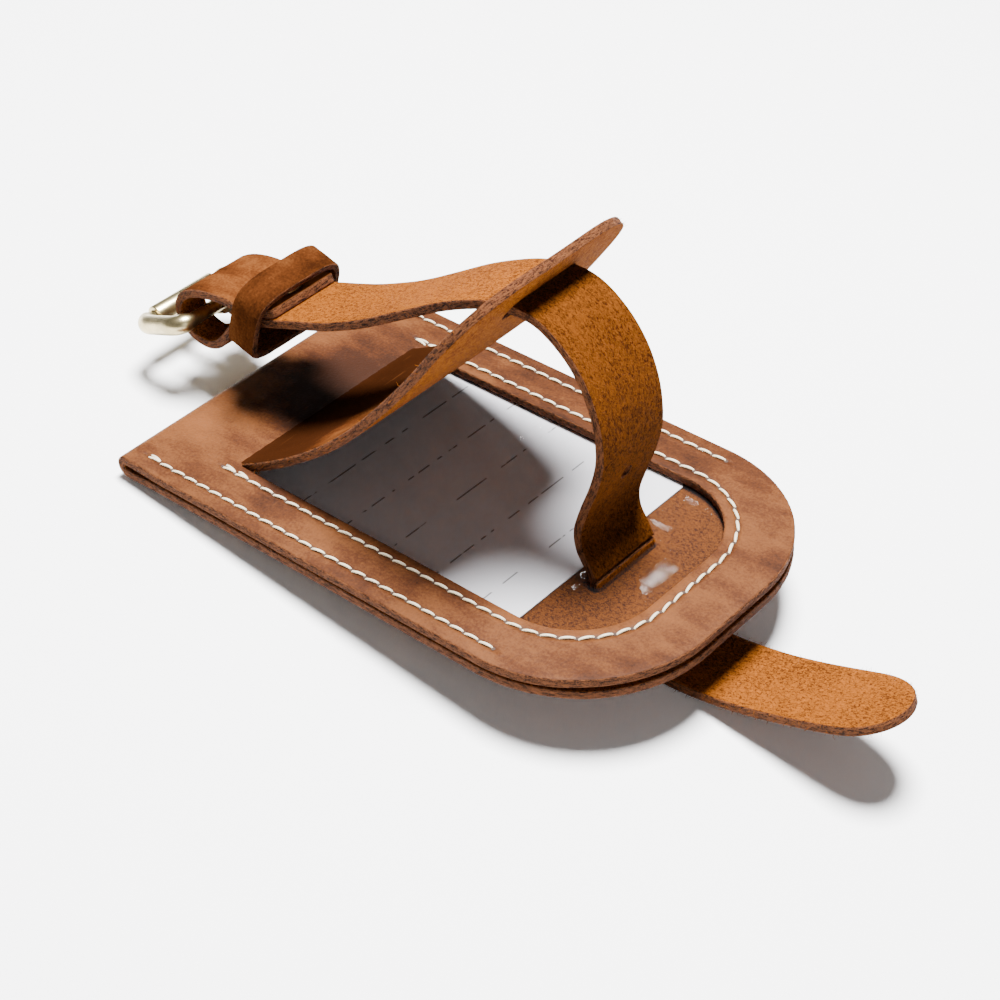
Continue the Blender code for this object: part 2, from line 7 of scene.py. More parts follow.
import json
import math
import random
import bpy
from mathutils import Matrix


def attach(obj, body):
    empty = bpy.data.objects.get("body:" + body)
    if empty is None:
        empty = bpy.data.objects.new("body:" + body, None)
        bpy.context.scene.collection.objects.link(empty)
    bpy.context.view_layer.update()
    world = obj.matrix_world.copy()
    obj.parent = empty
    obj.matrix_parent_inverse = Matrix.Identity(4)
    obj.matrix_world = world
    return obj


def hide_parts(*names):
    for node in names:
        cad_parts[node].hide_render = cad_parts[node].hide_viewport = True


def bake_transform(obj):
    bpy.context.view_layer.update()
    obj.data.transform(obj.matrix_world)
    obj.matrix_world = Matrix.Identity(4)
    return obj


bl_info = {
    "name": "Leather luggage tag",
    "version": (1, 0, 0),
    "blender": (4, 5, 0),
    "location": "3D View > Sidebar > Luggage tag",
    "description": "Builds the visible pieces and finishes of a leather luggage tag",
    "category": "Object",
}

import bmesh
import bpy
import numpy as np
from bpy.props import FloatProperty, FloatVectorProperty, IntProperty, PointerProperty
from mathutils import Matrix, Vector, noise

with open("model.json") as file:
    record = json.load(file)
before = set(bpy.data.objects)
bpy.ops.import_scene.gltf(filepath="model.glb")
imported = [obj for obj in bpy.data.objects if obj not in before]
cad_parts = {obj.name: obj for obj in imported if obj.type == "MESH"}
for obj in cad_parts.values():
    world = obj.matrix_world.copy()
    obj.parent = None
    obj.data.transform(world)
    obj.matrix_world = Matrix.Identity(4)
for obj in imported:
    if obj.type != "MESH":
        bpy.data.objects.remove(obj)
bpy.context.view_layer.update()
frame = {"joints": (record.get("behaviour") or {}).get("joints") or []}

MM = 0.001

# The folded body and its window.
FOLD_END = 1.4 * MM
ROUNDED_END = 127.7 * MM
TAG_WIDTH = 79.0 * MM
TAG_CORNER = 30.3 * MM
LEATHER = 2.0 * MM
POCKET = 1.0 * MM
WINDOW_START = 24.2 * MM
WINDOW_END = 114.1 * MM
WINDOW_WIDTH = 52.6 * MM
WINDOW_CORNER = 17.4 * MM
HALF_WIDTH = TAG_WIDTH / 2
FOLD_RADIUS = (LEATHER + POCKET) / 2
FOLD_ARC = math.pi * FOLD_RADIUS / 2
BACK_FACE = -2 * LEATHER - POCKET
FLAT_END = ROUNDED_END - FOLD_END - LEATHER / 2 - FOLD_RADIUS + FOLD_ARC
SHIFT = FLAT_END - ROUNDED_END  # from a place on the front panel to its place on the flat hide

# The flap, from a little inside the body, where the hide bends up.
FLAP_ROOT = 21.6 * MM
FLAP_START = 24.7 * MM
FLAP_LENGTH = 88.4 * MM
FLAP_SLOT_FROM_END = 11.0 * MM
FLAP_SLOPES = (27.0, 47.0, -16.0)
FLAP_SLOT_WIDTH = 6.6 * MM

# Film, card and seams.
FILM_TOP = -LEATHER - 0.25 * MM
FILM = 0.2 * MM
FILM_START = 19.0 * MM
FILM_MARGIN = 6.5 * MM
CARD_LENGTH = 90.0 * MM
CARD_WIDTH = 54.0 * MM
CARD = 0.3 * MM
CARD_START = 5.5 * MM
STITCH = 3.54 * MM
DOUBLING = 0.5 * MM  # between the two threads where a seam is locked
SEAM_INSET = 3.65 * MM
SEAM_START = 7.0 * MM
OUTER_STITCHES = 26
WINDOW_SEAM_START = 21.6 * MM
WINDOW_SEAM_INSET = 2.65 * MM
GROOVE = 0.95 * MM  # half the width that a seam presses into the hide

# The strap. Its routes repeat those of the solids, in millimetres in the x-z plane.
STRAP_WIDTH = 18.0 * MM
SLOT_LENGTH = STRAP_WIDTH + 0.8 * MM
BASE_SLOT_X = 100.8 * MM
BASE_SLOT_WIDTH = 3.0 * MM
HOLE_RADIUS = 1.4 * MM
TAIL_ROUTE = (
    (100.8, -1.4), (100.9, -4.0), (101.4, -8.0), (104.0, -12.6), (109.5, -15.6),
    (118.0, -16.4), (127.0, -15.5), (137.0, -13.2), (147.0, -9.9), (157.0, -6.1), (165.4, -2.9),
)
ARCH_ROUTE = (
    (100.7, -1.2), (99.3, 1.6), (97.4, 5.0), (97.0, 9.2), (98.5, 14.4), (100.7, 20.6),
    (102.0, 26.6), (101.9, 32.0), (100.9, 37.0), (98.7, 42.2), (95.2, 47.0), (90.6, 50.6),
    (86.0, 52.3), (80.4, 52.3),
)
RUN_ROUTE = (
    (80.6, 52.3), (79.2, 52.0), (74.0, 50.4), (68.3, 47.8), (62.0, 44.4), (54.3, 39.6),
    (47.0, 35.1), (41.0, 31.7), (34.0, 28.4), (27.0, 25.6),
)
LOOP_ROUTE = (
    (9.2, 18.7), (6.2, 16.2), (3.4, 12.6), (0.4, 9.7), (-3.6, 8.6), (-8.2, 10.0),
    (-10.4, 13.6), (-9.2, 17.2), (-5.6, 19.8), (-0.4, 21.4), (5.2, 22.0),
)
CLAMP_START = (12.4, 20.3)
CLAMP_LENGTH = 8.5
CLAMP_SLOPE = math.radians(19.6)
LAYER_GAP = 0.15
SHORT_END_LENGTH = 7.6
TAIL_HOLES = (6.0 * MM, 25.0 * MM)
ARCH_HOLE = 23.0 * MM
PRONG_SLOT_WIDTH = 4.0 * MM

# Metal and keeper.
RIVET_ALONG = 2.6 * MM
RIVET_CAP = 3.3 * MM
KEEPER_ALONG = 0.7 * MM
KEEPER_WIDTH = 7.0 * MM
KEEPER_LEATHER = 1.7 * MM
KEEPER_SPAN = 24.6 * MM
KEEPER_HEIGHT = 17.6 * MM
KEEPER_LEAN = math.radians(16.0)
KEEPER_RISE = 0.6 * MM
HEEL_BAR = (-6.0 * MM, 13.4 * MM)
FRONT_BAR = (-18.9 * MM, 8.5 * MM)
RAIL_Y = 12.4 * MM
RAIL_RADIUS = 2.1 * MM
HEEL_RADIUS = 1.5 * MM
FRONT_RADIUS = 1.2 * MM
ROLLER_LENGTH = 17.0 * MM
ROLLER_RADIUS = 2.2 * MM
ROLLER_BORE = 1.4 * MM
PRONG_THICK = 1.2 * MM
PRONG_WIDE = 2.4 * MM
PRONG_CLEARANCE = 0.15 * MM


def tag_frame():
    """The tag's own frame, read from the flap's hinge and the way the card slides."""
    joints = {joint["name"]: joint for joint in frame["joints"]}
    hinge = joints["flap_hinge"]["pos_m"]
    along = joints["card_slide"]["axis"]
    turn = Matrix.Rotation(-math.atan2(along[2], along[0]), 4, "Y")
    root = Vector((WINDOW_START, 0.0, -LEATHER + 0.4 * MM))
    return Matrix.Translation(hinge) @ turn @ Matrix.Translation(-root)


TAG = tag_frame()


# What a user would change.


def tint(name, text, value):
    return FloatVectorProperty(
        name=name, description=text, default=value, subtype="COLOR", size=3, min=0.0, max=1.0
    )


class TagSizes(bpy.types.PropertyGroup):
    grid: FloatProperty(
        name="Bend step", description="Distance between the scored lines of a sheet",
        default=3.0 * MM, unit="LENGTH", min=0.5 * MM,
    )
    thread: FloatProperty(
        name="Thread radius", description="Radius of the waxed thread",
        default=0.34 * MM, unit="LENGTH", min=0.1 * MM,
    )
    ragged: FloatProperty(
        name="Cut edge", description="How far the fibres of a cut edge stand out and in",
        default=0.09 * MM, unit="LENGTH", min=0.0,
    )
    seed: IntProperty(name="Seed", description="Start of the random draws", default=11, min=0)


class TagColours(bpy.types.PropertyGroup):
    hide_dark: tint("Oiled hide, dark", "Where the oil sits in the hide", (0.0130, 0.0038, 0.0012))
    hide: tint("Oiled hide", "The hide's own brown", (0.0480, 0.0140, 0.0038))
    hide_light: tint("Oiled hide, pulled up", "Where bending has moved the oil", (0.0980, 0.0330, 0.0095))
    suede: tint("Suede", "The flesh side of the strap", (0.172, 0.0500, 0.0064))
    suede_dark: tint("Suede, dark", "Specks in the nap", (0.0300, 0.0076, 0.0012))
    # The cut edge's dark colour is partly painted shade, standing in for the shade on the tag's edges.
    shaded_cut_edge: tint("Cut edge", "Raw edge of the leather", (0.0110, 0.0038, 0.0014))
    thread: tint("Thread", "Waxed thread", (0.560, 0.470, 0.330))
    card: tint("Card", "Name card", (0.800, 0.790, 0.830))
    brass: tint("Brass", "Worn antique brass", (0.560, 0.460, 0.250))
    floor: tint("Floor", "The surface under the tag", (0.900, 0.900, 0.905))


# Shader maths.


class Field:
    """A value or colour in a finish, with the usual arithmetic as Math nodes."""

    def __init__(self, finish, socket):
        self.finish = finish
        self.socket = socket

    def maths(self, operation, *others):
        return self.finish.node("ShaderNodeMath", {"operation": operation}, (self, *others))

    def __add__(self, other):
        return self.maths("ADD", other)

    def __sub__(self, other):
        return self.maths("SUBTRACT", other)

    def __rsub__(self, other):
        return self.finish.node("ShaderNodeMath", {"operation": "SUBTRACT"}, (other, self))

    def __mul__(self, other):
        return self.maths("MULTIPLY", other)

    def __truediv__(self, other):
        return self.maths("DIVIDE", other)

    __radd__ = __add__
    __rmul__ = __mul__

    def size(self):
        return self.maths("ABSOLUTE")

    def step(self, low, high):
        """0 below low, 1 above high, smooth between."""
        return self.finish.node(
            "ShaderNodeMapRange", {"interpolation_type": "SMOOTHSTEP"}, (self, low, high, 0.0, 1.0)
        )

    def hill(self, width):
        """1 where the value is 0, falling to 0 at width either side."""
        return 1.0 - self.size().step(0.0, width)


class Finish:
    """A material on its way: its Principled shader and one method that adds any node."""

    def __init__(self, name, roughness=0.5, metallic=0.0):
        self.material = bpy.data.materials.new(name)
        self.material.use_nodes = True
        self.tree = self.material.node_tree
        self.shader = self.tree.nodes["Principled BSDF"]
        self.set("Roughness", roughness)
        self.set("Metallic", metallic)

    def plug(self, socket, value):
        if isinstance(value, Field):
            self.tree.links.new(value.socket, socket)
        elif isinstance(value, (tuple, list)) and socket.type == "RGBA":
            socket.default_value = (*value, 1.0)
        else:
            socket.default_value = value

    def node(self, kind, settings=None, values=(), output=0):
        made = self.tree.nodes.new(kind)
        for key, value in (settings or {}).items():
            if key == "stops":
                stops = made.color_ramp.elements
                for place, _ in value[1:-1]:
                    stops.new(place)
                for stop, (_, colour) in zip(stops, value):
                    stop.color = (*colour, 1.0)
            else:
                setattr(made, key, value)
        pairs = values.items() if isinstance(values, dict) else enumerate(values)
        for key, value in pairs:
            self.plug(made.inputs[key], value)
        return Field(self, made.outputs[output])

    def set(self, name, value):
        self.plug(self.shader.inputs[name], value)

    def hide(self):
        """The place on the flat sheet, in metres."""
        return self.node("ShaderNodeAttribute", {"attribute_name": "flat"}, output="Vector")

    def place(self):
        return self.node("ShaderNodeTexCoord", output="Object")

    def stretched(self, vector, by):
        return self.node("ShaderNodeVectorMath", {"operation": "MULTIPLY"}, (vector, by))

    def parts(self, vector):
        split = self.node("ShaderNodeSeparateXYZ", {}, (vector,)).socket.node
        return [Field(self, out) for out in split.outputs]

    def noise(self, vector, size, detail=3.0, roughness=0.55, distortion=0.0):
        """A random pattern whose blots are about size metres across."""
        values = {
            "Vector": self.stretched(vector, (1.0 / size,) * 3), "Scale": 1.0, "Detail": detail,
            "Roughness": roughness, "Distortion": distortion,
        }
        return self.node("ShaderNodeTexNoise", {}, values)

    def cells(self, vector, size):
        values = {"Vector": self.stretched(vector, (1.0 / size,) * 3), "Scale": 1.0}
        return self.node("ShaderNodeTexVoronoi", {}, values)

    def ramp(self, value, stops, depth=1.0):
        """Colours by value; a stop is its place, its colour and how bright that colour is there."""
        shades = [(place, shade(colour, share * depth)) for place, colour, share in stops]
        return self.node("ShaderNodeValToRGB", {"stops": shades}, (value,))

    def mix(self, factor, first, second, blend="MIX"):
        settings = {"data_type": "RGBA", "blend_type": blend}
        return self.node("ShaderNodeMix", settings, {0: factor, 6: first, 7: second}, output=2)

    def bump(self, height, strength, distance):
        values = {"Strength": strength, "Distance": distance, "Height": height}
        self.set("Normal", self.node("ShaderNodeBump", {}, values))


# The finishes.


def shade(colour, factor):
    return tuple(min(1.0, c * factor) for c in colour)


def oiled_hide(colours, name, depth=1.0, grooves=False, oil_and_shade_at=(), gloss=0.0):
    """Pull-up leather: waxy, mottled, dark where the oil sits and light where it is moved."""
    finish = Finish(name)
    hide = finish.hide()
    x, y, z = finish.parts(hide)
    # Each patch turns the tone darker or lighter: oil moved in the hide, and at the flap's root also
    # painted shade.
    oil = 0.0
    for place, reach, side, half, amount in oil_and_shade_at:
        oil = oil + (x - place).hill(reach) * (y - side).hill(half) * amount
    clouds = finish.noise(hide, 34 * MM, 5.0, 0.6, 0.4)
    patches = finish.noise(finish.stretched(hide, (0.7, 1.6, 1.0)), 9 * MM, 4.0, 0.65)
    speckle = finish.noise(hide, 0.55 * MM, 3.0, 0.7)
    tone = clouds * 0.5 + patches * 0.3 + speckle * 0.2 - oil
    dark, brown, light = colours.hide_dark, colours.hide, colours.hide_light
    body = finish.ramp(tone, (
        (0.0, dark, 0.7), (0.41, dark, 1.6), (0.49, brown, 1.0), (0.55, light, 0.8),
        (0.64, light, 1.05), (1.0, light, 1.2),
    ), depth)
    scuffs = finish.noise(finish.stretched(hide, (1.0, 0.12, 1.0)), 1.6 * MM, 4.0, 0.7)
    body = finish.mix(scuffs.step(0.62, 0.74) * 0.30, body, tuple(light))
    # Lighter along the eased edges of the face: painted highlight, where the rounded edge catches the
    # light.
    rim = z.size().step(LEATHER / 2 - 0.02 * MM, LEATHER / 2 - 0.3 * MM)
    body = finish.mix(rim * 0.7, body, shade(light, 1.25))
    pores = finish.cells(hide, 0.62 * MM)
    creases = finish.noise(hide, 1.3 * MM, 5.0, 0.7, 0.6)
    height = pores * 0.35 + creases * 0.6 + speckle * 0.25
    if grooves:
        press = seam_press(x, y)
        body = finish.mix(press * 0.45, body, shade(dark, 1.1))
        height = height - press * 2.2
    finish.set("Base Color", body)
    finish.set("Roughness", 0.66 - clouds * 0.24 + speckle * 0.12)
    finish.set("Specular IOR Level", gloss)
    finish.bump(height, 0.6, 0.2 * MM)
    return finish.material


def seam_press(x, y):
    """1 along the seams, where the thread has pulled the front panel in."""
    half = WINDOW_WIDTH / 2 + WINDOW_SEAM_INSET
    corner = WINDOW_CORNER + WINDOW_SEAM_INSET
    past = (x - (WINDOW_END + WINDOW_SEAM_INSET - corner + SHIFT)).maths("MAXIMUM", 0.0)
    side = (y.size() - (half - corner)).maths("MAXIMUM", 0.0)
    around = (past * past + side * side).maths("SQRT") - corner
    start = WINDOW_SEAM_START + SHIFT
    on_window = around.hill(GROOVE) * x.step(start - 2 * MM, start)
    row = y.size() - (HALF_WIDTH - SEAM_INSET)
    on_row = x.step(SEAM_START + SHIFT - 2 * MM, SEAM_START + SHIFT)
    row_end = SEAM_START + STITCH * OUTER_STITCHES + SHIFT
    on_row = on_row * (1.0 - x.step(row_end, row_end + 2 * MM))
    return on_window.maths("MAXIMUM", row.hill(GROOVE) * on_row)


def suede(colours, name, depth=1.0, nap=1.0):
    """The flesh side: matt orange-brown nap with dark flecks between the fibres."""
    finish = Finish(name, roughness=0.95)
    hide = finish.hide()
    clouds = finish.noise(hide, 16 * MM, 4.0, 0.6)
    flecks = finish.noise(finish.stretched(hide, (1.0, 1.4, 1.0)), 0.62 * MM, 3.0, 0.6, 0.9)
    fibres = finish.noise(hide, 0.30 * MM, 3.0, 0.7)
    tone = flecks * 0.66 + fibres * 0.2 + clouds * 0.14
    dark, light = colours.suede_dark, colours.suede
    finish.set("Base Color", finish.ramp(tone, (
        (0.0, dark, 1.0), (0.41, dark, 1.8), (0.455, light, 0.62), (0.51, light, 1.0),
        (0.60, light, 1.3), (1.0, light, 1.6),
    ), depth))
    finish.set("Specular IOR Level", 0.02)
    finish.bump(flecks + fibres * 0.5, 1.0 * nap, 0.6 * MM)
    return finish.material


def raw_edge(colours, name):
    """A cut edge: dark, fibrous, with threads of lighter fibre running along it; its darkness is partly
    painted shade.
    """
    finish = Finish(name, roughness=0.85)
    hide = finish.hide()
    layers = finish.noise(finish.stretched(hide, (0.5, 0.5, 2.4)), 0.7 * MM, 5.0, 0.7, 0.6)
    fibres = finish.noise(hide, 0.3 * MM, 3.0, 0.7)
    tone = layers * 0.7 + fibres * 0.3
    dark, light = colours.shaded_cut_edge, colours.hide_light
    finish.set("Base Color", finish.ramp(tone, (
        (0.0, dark, 0.35), (0.41, dark, 0.9), (0.47, dark, 4.6), (0.54, dark, 11.0), (1.0, light, 1.3),
    )))
    finish.set("Specular IOR Level", 0.08)
    finish.bump(layers + fibres * 0.5, 1.0, 0.5 * MM)
    return finish.material


def clear_film():
    finish = Finish("clear_film", roughness=0.06)
    finish.set("Base Color", (0.02, 0.02, 0.022))
    finish.set("Alpha", 0.14)
    finish.set("IOR", 1.5)
    ripple = finish.noise(finish.place(), 24 * MM, 2.0, 0.4)
    finish.bump(ripple, 0.5, 1.2 * MM)
    return finish.material


def ruled_card(colours):
    """Smooth grey card with dashed lines ruled across it."""
    finish = Finish("card_paper", roughness=0.62)
    hide = finish.hide()
    x, _, _ = finish.parts(hide)
    first, pitch, count = 39.6 * MM, 11.8 * MM, 5
    rule = (x - first) / pitch
    off_line = (rule - rule.maths("ROUND")) * pitch
    within = rule.step(-0.5, -0.4) * (1.0 - rule.step(count - 0.6, count - 0.5))
    broken = finish.noise(hide, 3.4 * MM, 1.0).step(0.48, 0.52)
    line = off_line.hill(0.30 * MM) * within * broken
    paper = finish.noise(hide, 0.5 * MM, 2.0)
    base = finish.mix(paper, shade(colours.card, 0.97), shade(colours.card, 1.03))
    finish.set("Base Color", finish.mix(line * 0.85, base, (0.055, 0.050, 0.060)))
    finish.bump(paper, 0.15, 0.05 * MM)
    return finish.material


def waxed_thread(colours):
    finish = Finish("cream_thread", roughness=0.5)
    place = finish.place()
    strand = finish.noise(finish.stretched(place, (1.0, 2.0, 1.0)), 0.35 * MM, 3.0)
    finish.set("Base Color", finish.mix(strand, shade(colours.thread, 0.72), shade(colours.thread, 1.12)))
    finish.bump(strand, 0.6, 0.12 * MM)
    return finish.material


def worn_brass(colours, name, depth=1.0):
    """Antique brass: brighter and smoother in random patches, darker and rougher in others, with fine
    streaks.
    """
    finish = Finish(name, metallic=1.0)
    place = finish.place()
    patina = finish.noise(place, 3.2 * MM, 4.0, 0.6)
    marks = finish.noise(finish.stretched(place, (1.0, 3.0, 1.0)), 0.5 * MM, 4.0, 0.7)
    tone = patina * 0.75 + marks * 0.25
    finish.set("Base Color", finish.ramp(tone, (
        (0.0, colours.brass, 0.35), (0.42, colours.brass, 0.75), (0.55, colours.brass, 1.0),
        (1.0, colours.brass, 1.25),
    ), depth))
    finish.set("Roughness", 0.34 - patina * 0.16 + marks * 0.08)
    finish.bump(marks + patina, 0.25, 0.06 * MM)
    return finish.material


def plain(name, colour, roughness):
    finish = Finish(name, roughness)
    grit = finish.noise(finish.place(), 0.4 * MM, 2.0)
    finish.set("Base Color", finish.mix(grit, shade(colour, 0.9), shade(colour, 1.1)))
    return finish.material


# Outlines and sheets.


def arc(centre, radius, start, end, steps):
    angles = np.radians(np.linspace(start, end, steps + 1))
    return [(centre[0] + radius * math.cos(a), centre[1] + radius * math.sin(a)) for a in angles]


def circle(centre, radius, steps=24):
    return arc(centre, radius, 0, 360, steps)[:-1]


def rounded_box(x0, x1, y0, y1, radius, steps=6):
    corners = (
        ((x1 - radius, y1 - radius), 0), ((x0 + radius, y1 - radius), 90),
        ((x0 + radius, y0 + radius), 180), ((x1 - radius, y0 + radius), 270),
    )
    points = []
    for centre, start in corners:
        points += arc(centre, radius, start, start + 90, steps)
    return points


def round_ended(x0, x1, half_width, radius, steps=24):
    points = [(x0, -half_width)]
    points += arc((x1 - radius, -half_width + radius), radius, -90, 0, steps)
    points += arc((x1 - radius, half_width - radius), radius, 0, 90, steps)
    return points + [(x0, half_width)]


def slot_outline(x, width, length):
    return rounded_box(x - width / 2, x + width / 2, -length / 2, length / 2, 0.4 * width, 5)


def dense(loop, step):
    """The loop with a point every step or so, its own points kept."""
    points = []
    for a, b in zip(loop, loop[1:] + loop[:1]):
        count = max(1, round(math.dist(a, b) / step))
        for k in range(count):
            t = k / count
            points.append((a[0] + (b[0] - a[0]) * t, a[1] + (b[1] - a[1]) * t))
    return points


def around(loop, clockwise):
    xs, ys = np.array(loop).T
    area = np.dot(xs, np.roll(ys, -1)) - np.dot(ys, np.roll(xs, -1))
    return loop if (area < 0) == clockwise else loop[::-1]


def outward(loop):
    points = np.array(loop)
    ahead = np.roll(points, -1, 0) - np.roll(points, 1, 0)
    normal = np.stack([ahead[:, 1], -ahead[:, 0]], 1)
    return points, normal / np.linalg.norm(normal, axis=1, keepdims=True)


TOP, UNDER, EDGE = 0, 1, 2


def leather_sheet(loops, thickness, bends_x, bends_y, ragged=0.0, step=0.9 * MM, shift=0.0):
    """A flat sheet with eased, slightly ragged cut edges: the outline first, then its holes."""
    ease = min(0.36 * MM, 0.3 * thickness)
    rings = (
        (1.25 * ease, 0.0, 0.0), (0.45 * ease, 0.18 * ease, 0.0), (0.0, 0.8 * ease, 0.5),
        (-0.06 * ease, 0.36 * thickness, 1.0), (0.1 * ease, 0.64 * thickness, 1.0),
        (0.0, thickness - 0.8 * ease, 0.5), (0.4 * ease, thickness - 0.15 * ease, 0.0),
        (1.1 * ease, thickness, 0.0),
    )
    bm = bmesh.new()
    caps = ([], [])
    for index, loop in enumerate(loops):
        points, normal = outward(dense(around(loop, index > 0), step))
        made = []
        for inset, depth, rough in rings:
            ring = []
            for point, away in zip(points, normal):
                seat = Vector((point[0], point[1], depth)) / (0.9 * MM)
                out = rough * ragged * (noise.noise(seat) + 0.6 * noise.noise(3.1 * seat)) - inset
                ring.append(bm.verts.new((*(point + away * out), thickness / 2 - depth)))
            made.append(ring)
        count = len(points)
        for level, (high, low) in enumerate(zip(made, made[1:])):
            side = TOP if level == 0 else UNDER if level == len(rings) - 2 else EDGE
            for k in range(count):
                n = (k + 1) % count
                bm.faces.new((high[k], low[k], low[n], high[n])).material_index = side
        for cap, ring in zip(caps, (made[0], made[-1])):
            cap += [bm.edges.get((ring[k], ring[(k + 1) % count])) for k in range(count)]
    for cap, side in zip(caps, (TOP, UNDER)):
        filled = bmesh.ops.triangle_fill(bm, edges=cap, use_beauty=True, normal=(0.0, 0.0, 1.0))
        for face in filled["geom"]:
            if isinstance(face, bmesh.types.BMFace):
                face.material_index = side
    for axis, places in ((0, bends_x), (1, bends_y)):
        across = Vector((1.0, 0.0, 0.0)) if axis == 0 else Vector((0.0, 1.0, 0.0))
        for place in places:
            near = [f for f in bm.faces
                    if min(v.co[axis] for v in f.verts) < place < max(v.co[axis] for v in f.verts)]
            geom = set(near)
            for face in near:
                geom.update(face.edges)
                geom.update(face.verts)
            bmesh.ops.bisect_plane(
                bm, geom=list(geom), dist=1e-6, plane_co=across * place, plane_no=across
            )
    bmesh.ops.triangulate(bm, faces=[f for f in bm.faces if len(f.verts) > 4])
    flat = bm.verts.layers.float_vector.new("flat")
    for vert in bm.verts:
        vert[flat] = vert.co + Vector((shift, 0.0, 0.0))
    return bm


def spaced(start, end, step):
    count = max(1, round((end - start) / step))
    return [start + (end - start) * k / count for k in range(1, count)]


class Route:
    """A smooth line in the x-z plane through the given points, measured by its length."""

    def __init__(self, points, steps=16):
        nodes = np.array(points, float)
        padded = np.vstack([2 * nodes[0] - nodes[1], nodes, 2 * nodes[-1] - nodes[-2]])
        line = []
        for a, b, c, d in zip(padded, padded[1:], padded[2:], padded[3:]):
            for t in np.arange(steps) / steps:
                line.append(
                    0.5 * (2 * b + (c - a) * t + (2 * a - 5 * b + 4 * c - d) * t * t
                           + (3 * b - a - 3 * c + d) * t**3)
                )
        line.append(nodes[-1])
        self.line = np.array(line)
        lengths = np.linalg.norm(np.diff(self.line, axis=0), axis=1)
        self.along = np.concatenate([[0.0], np.cumsum(lengths)])
        self.length = self.along[-1]

    def place(self, s):
        return np.array([np.interp(s, self.along, self.line[:, i]) for i in (0, 1)])

    def section(self, s, reach=0.8 * MM):
        ahead = self.place(min(s + reach, self.length)) - self.place(max(s - reach, 0.0))
        return self.place(s), ahead / np.linalg.norm(ahead)


def form(bm, section, lift=None):
    """Bends a sheet so that its x runs along a section line; lift moves a point off the line."""
    for vert in bm.verts:
        x, y, z = vert.co
        place, ahead = section(x)
        off = z + (lift(x, y, z) if lift else 0.0)
        vert.co = (place[0] - ahead[1] * off, y, place[1] + ahead[0] * off)
    return bm


def metres(points):
    return [(x * MM, z * MM) for x, z in points]


def show(bm, name, slot, materials, *replaced, body=None, matrix=TAG):
    """Turns a bmesh into a piece that rides on a body and stands for CAD nodes; slot is not used."""
    bmesh.ops.recalc_face_normals(bm, faces=bm.faces)
    if bm.calc_volume(signed=True) < 0:
        bmesh.ops.reverse_faces(bm, faces=bm.faces)
    bm.transform(matrix)
    mesh = bpy.data.meshes.new(name)
    bm.to_mesh(mesh)
    bm.free()
    mesh.shade_smooth()
    mesh.set_sharp_from_angle(angle=math.radians(50))
    piece = bpy.data.objects.new(name, mesh)
    for material in materials:
        mesh.materials.append(material)
    bpy.context.scene.collection.objects.link(piece)
    if body:
        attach(piece, body)
    if replaced:
        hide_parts(*replaced)
    return piece


# The body, the flap, the film and the card.


def body_section(s):
    """Along the back panel, round the fold and along the front panel."""
    turn = max(-FOLD_ARC, min(FOLD_ARC, s)) / FOLD_RADIUS
    straight = max(abs(s) - FOLD_ARC, 0.0)
    x = FOLD_END + LEATHER / 2 + FOLD_RADIUS * (1 - math.cos(turn)) + straight
    z = BACK_FACE / 2 + FOLD_RADIUS * math.sin(turn)
    return np.array([x, z]), np.array([math.sin(turn), math.cos(turn)])


def smooth(value, low, high):
    t = min(1.0, max(0.0, (value - low) / (high - low)))
    return t * t * (3 - 2 * t)


def body_lift(x, y, z):
    """The seams draw the two panels together along the long sides; the hide is a little uneven."""
    seamed = smooth(abs(x), 3 * MM, 12 * MM) * (1 - 0.5 * smooth(abs(x), 100 * MM, 122 * MM))
    pinch = 0.34 * MM * smooth(abs(y), 31 * MM, 36 * MM) * seamed
    wave = 0.12 * MM * noise.noise(Vector((x, y, 0.0)) / (26 * MM))
    return wave - pinch


def make_body(sizes, colours):
    front = round_ended(0.0, FLAT_END, HALF_WIDTH, TAG_CORNER)[1:-1]
    back = [(-x, y) for x, y in reversed(front)]
    window = round_ended(WINDOW_START + SHIFT, WINDOW_END + SHIFT, WINDOW_WIDTH / 2, WINDOW_CORNER)
    slot = slot_outline(-(BASE_SLOT_X + SHIFT), BASE_SLOT_WIDTH, SLOT_LENGTH)
    fold = [FOLD_ARC * 1.02 * k / 9 for k in range(-9, 10)]
    bends = spaced(-FLAT_END, -FOLD_ARC, sizes.grid) + fold + spaced(FOLD_ARC, FLAT_END, sizes.grid)
    bm = leather_sheet(
        [front + back, window, slot], LEATHER, bends, spaced(-HALF_WIDTH, HALF_WIDTH, sizes.grid),
        sizes.ragged,
    )
    form(bm, body_section, body_lift)
    # Darker round the flap's root: darker oil there plus painted shade, for the strap's shadow and the
    # valley where the flap rises. Lighter round the fold, where bending has moved the oil.
    oil_and_shade_at = ((22 * MM + SHIFT, 15 * MM, 6 * MM, 26 * MM, 0.22), (FOLD_ARC, 14 * MM, 0.0, 90 * MM, -0.04))
    materials = (
        oiled_hide(colours, "oiled_hide", grooves=True, oil_and_shade_at=oil_and_shade_at, gloss=0.08),
        suede(colours, "pocket_lining", 0.62, 0.6),
        raw_edge(colours, "raw_edge"),
    )
    show(bm, "folded_body", "oiled_leather", materials, "body_leather", body="tag")


def flap_route():
    """The flap's middle line, from inside the body, ever steeper as it rises."""
    steps = 40
    place = np.array([FLAP_START, -LEATHER / 2 + 0.35 * MM])
    line = [place]
    for i in range(steps):
        u = (i + 0.5) / steps
        slope = math.radians(FLAP_SLOPES[0] + FLAP_SLOPES[1] * u + FLAP_SLOPES[2] * u * u)
        place = place + FLAP_LENGTH / steps * np.array([math.cos(slope), math.sin(slope)])
        line.append(place)
    root = [(FLAP_ROOT, -LEATHER / 2 - 0.35 * MM), (FLAP_ROOT + 1.6 * MM, -LEATHER / 2 - 0.12 * MM)]
    return Route(np.vstack([root, line]), steps=3)


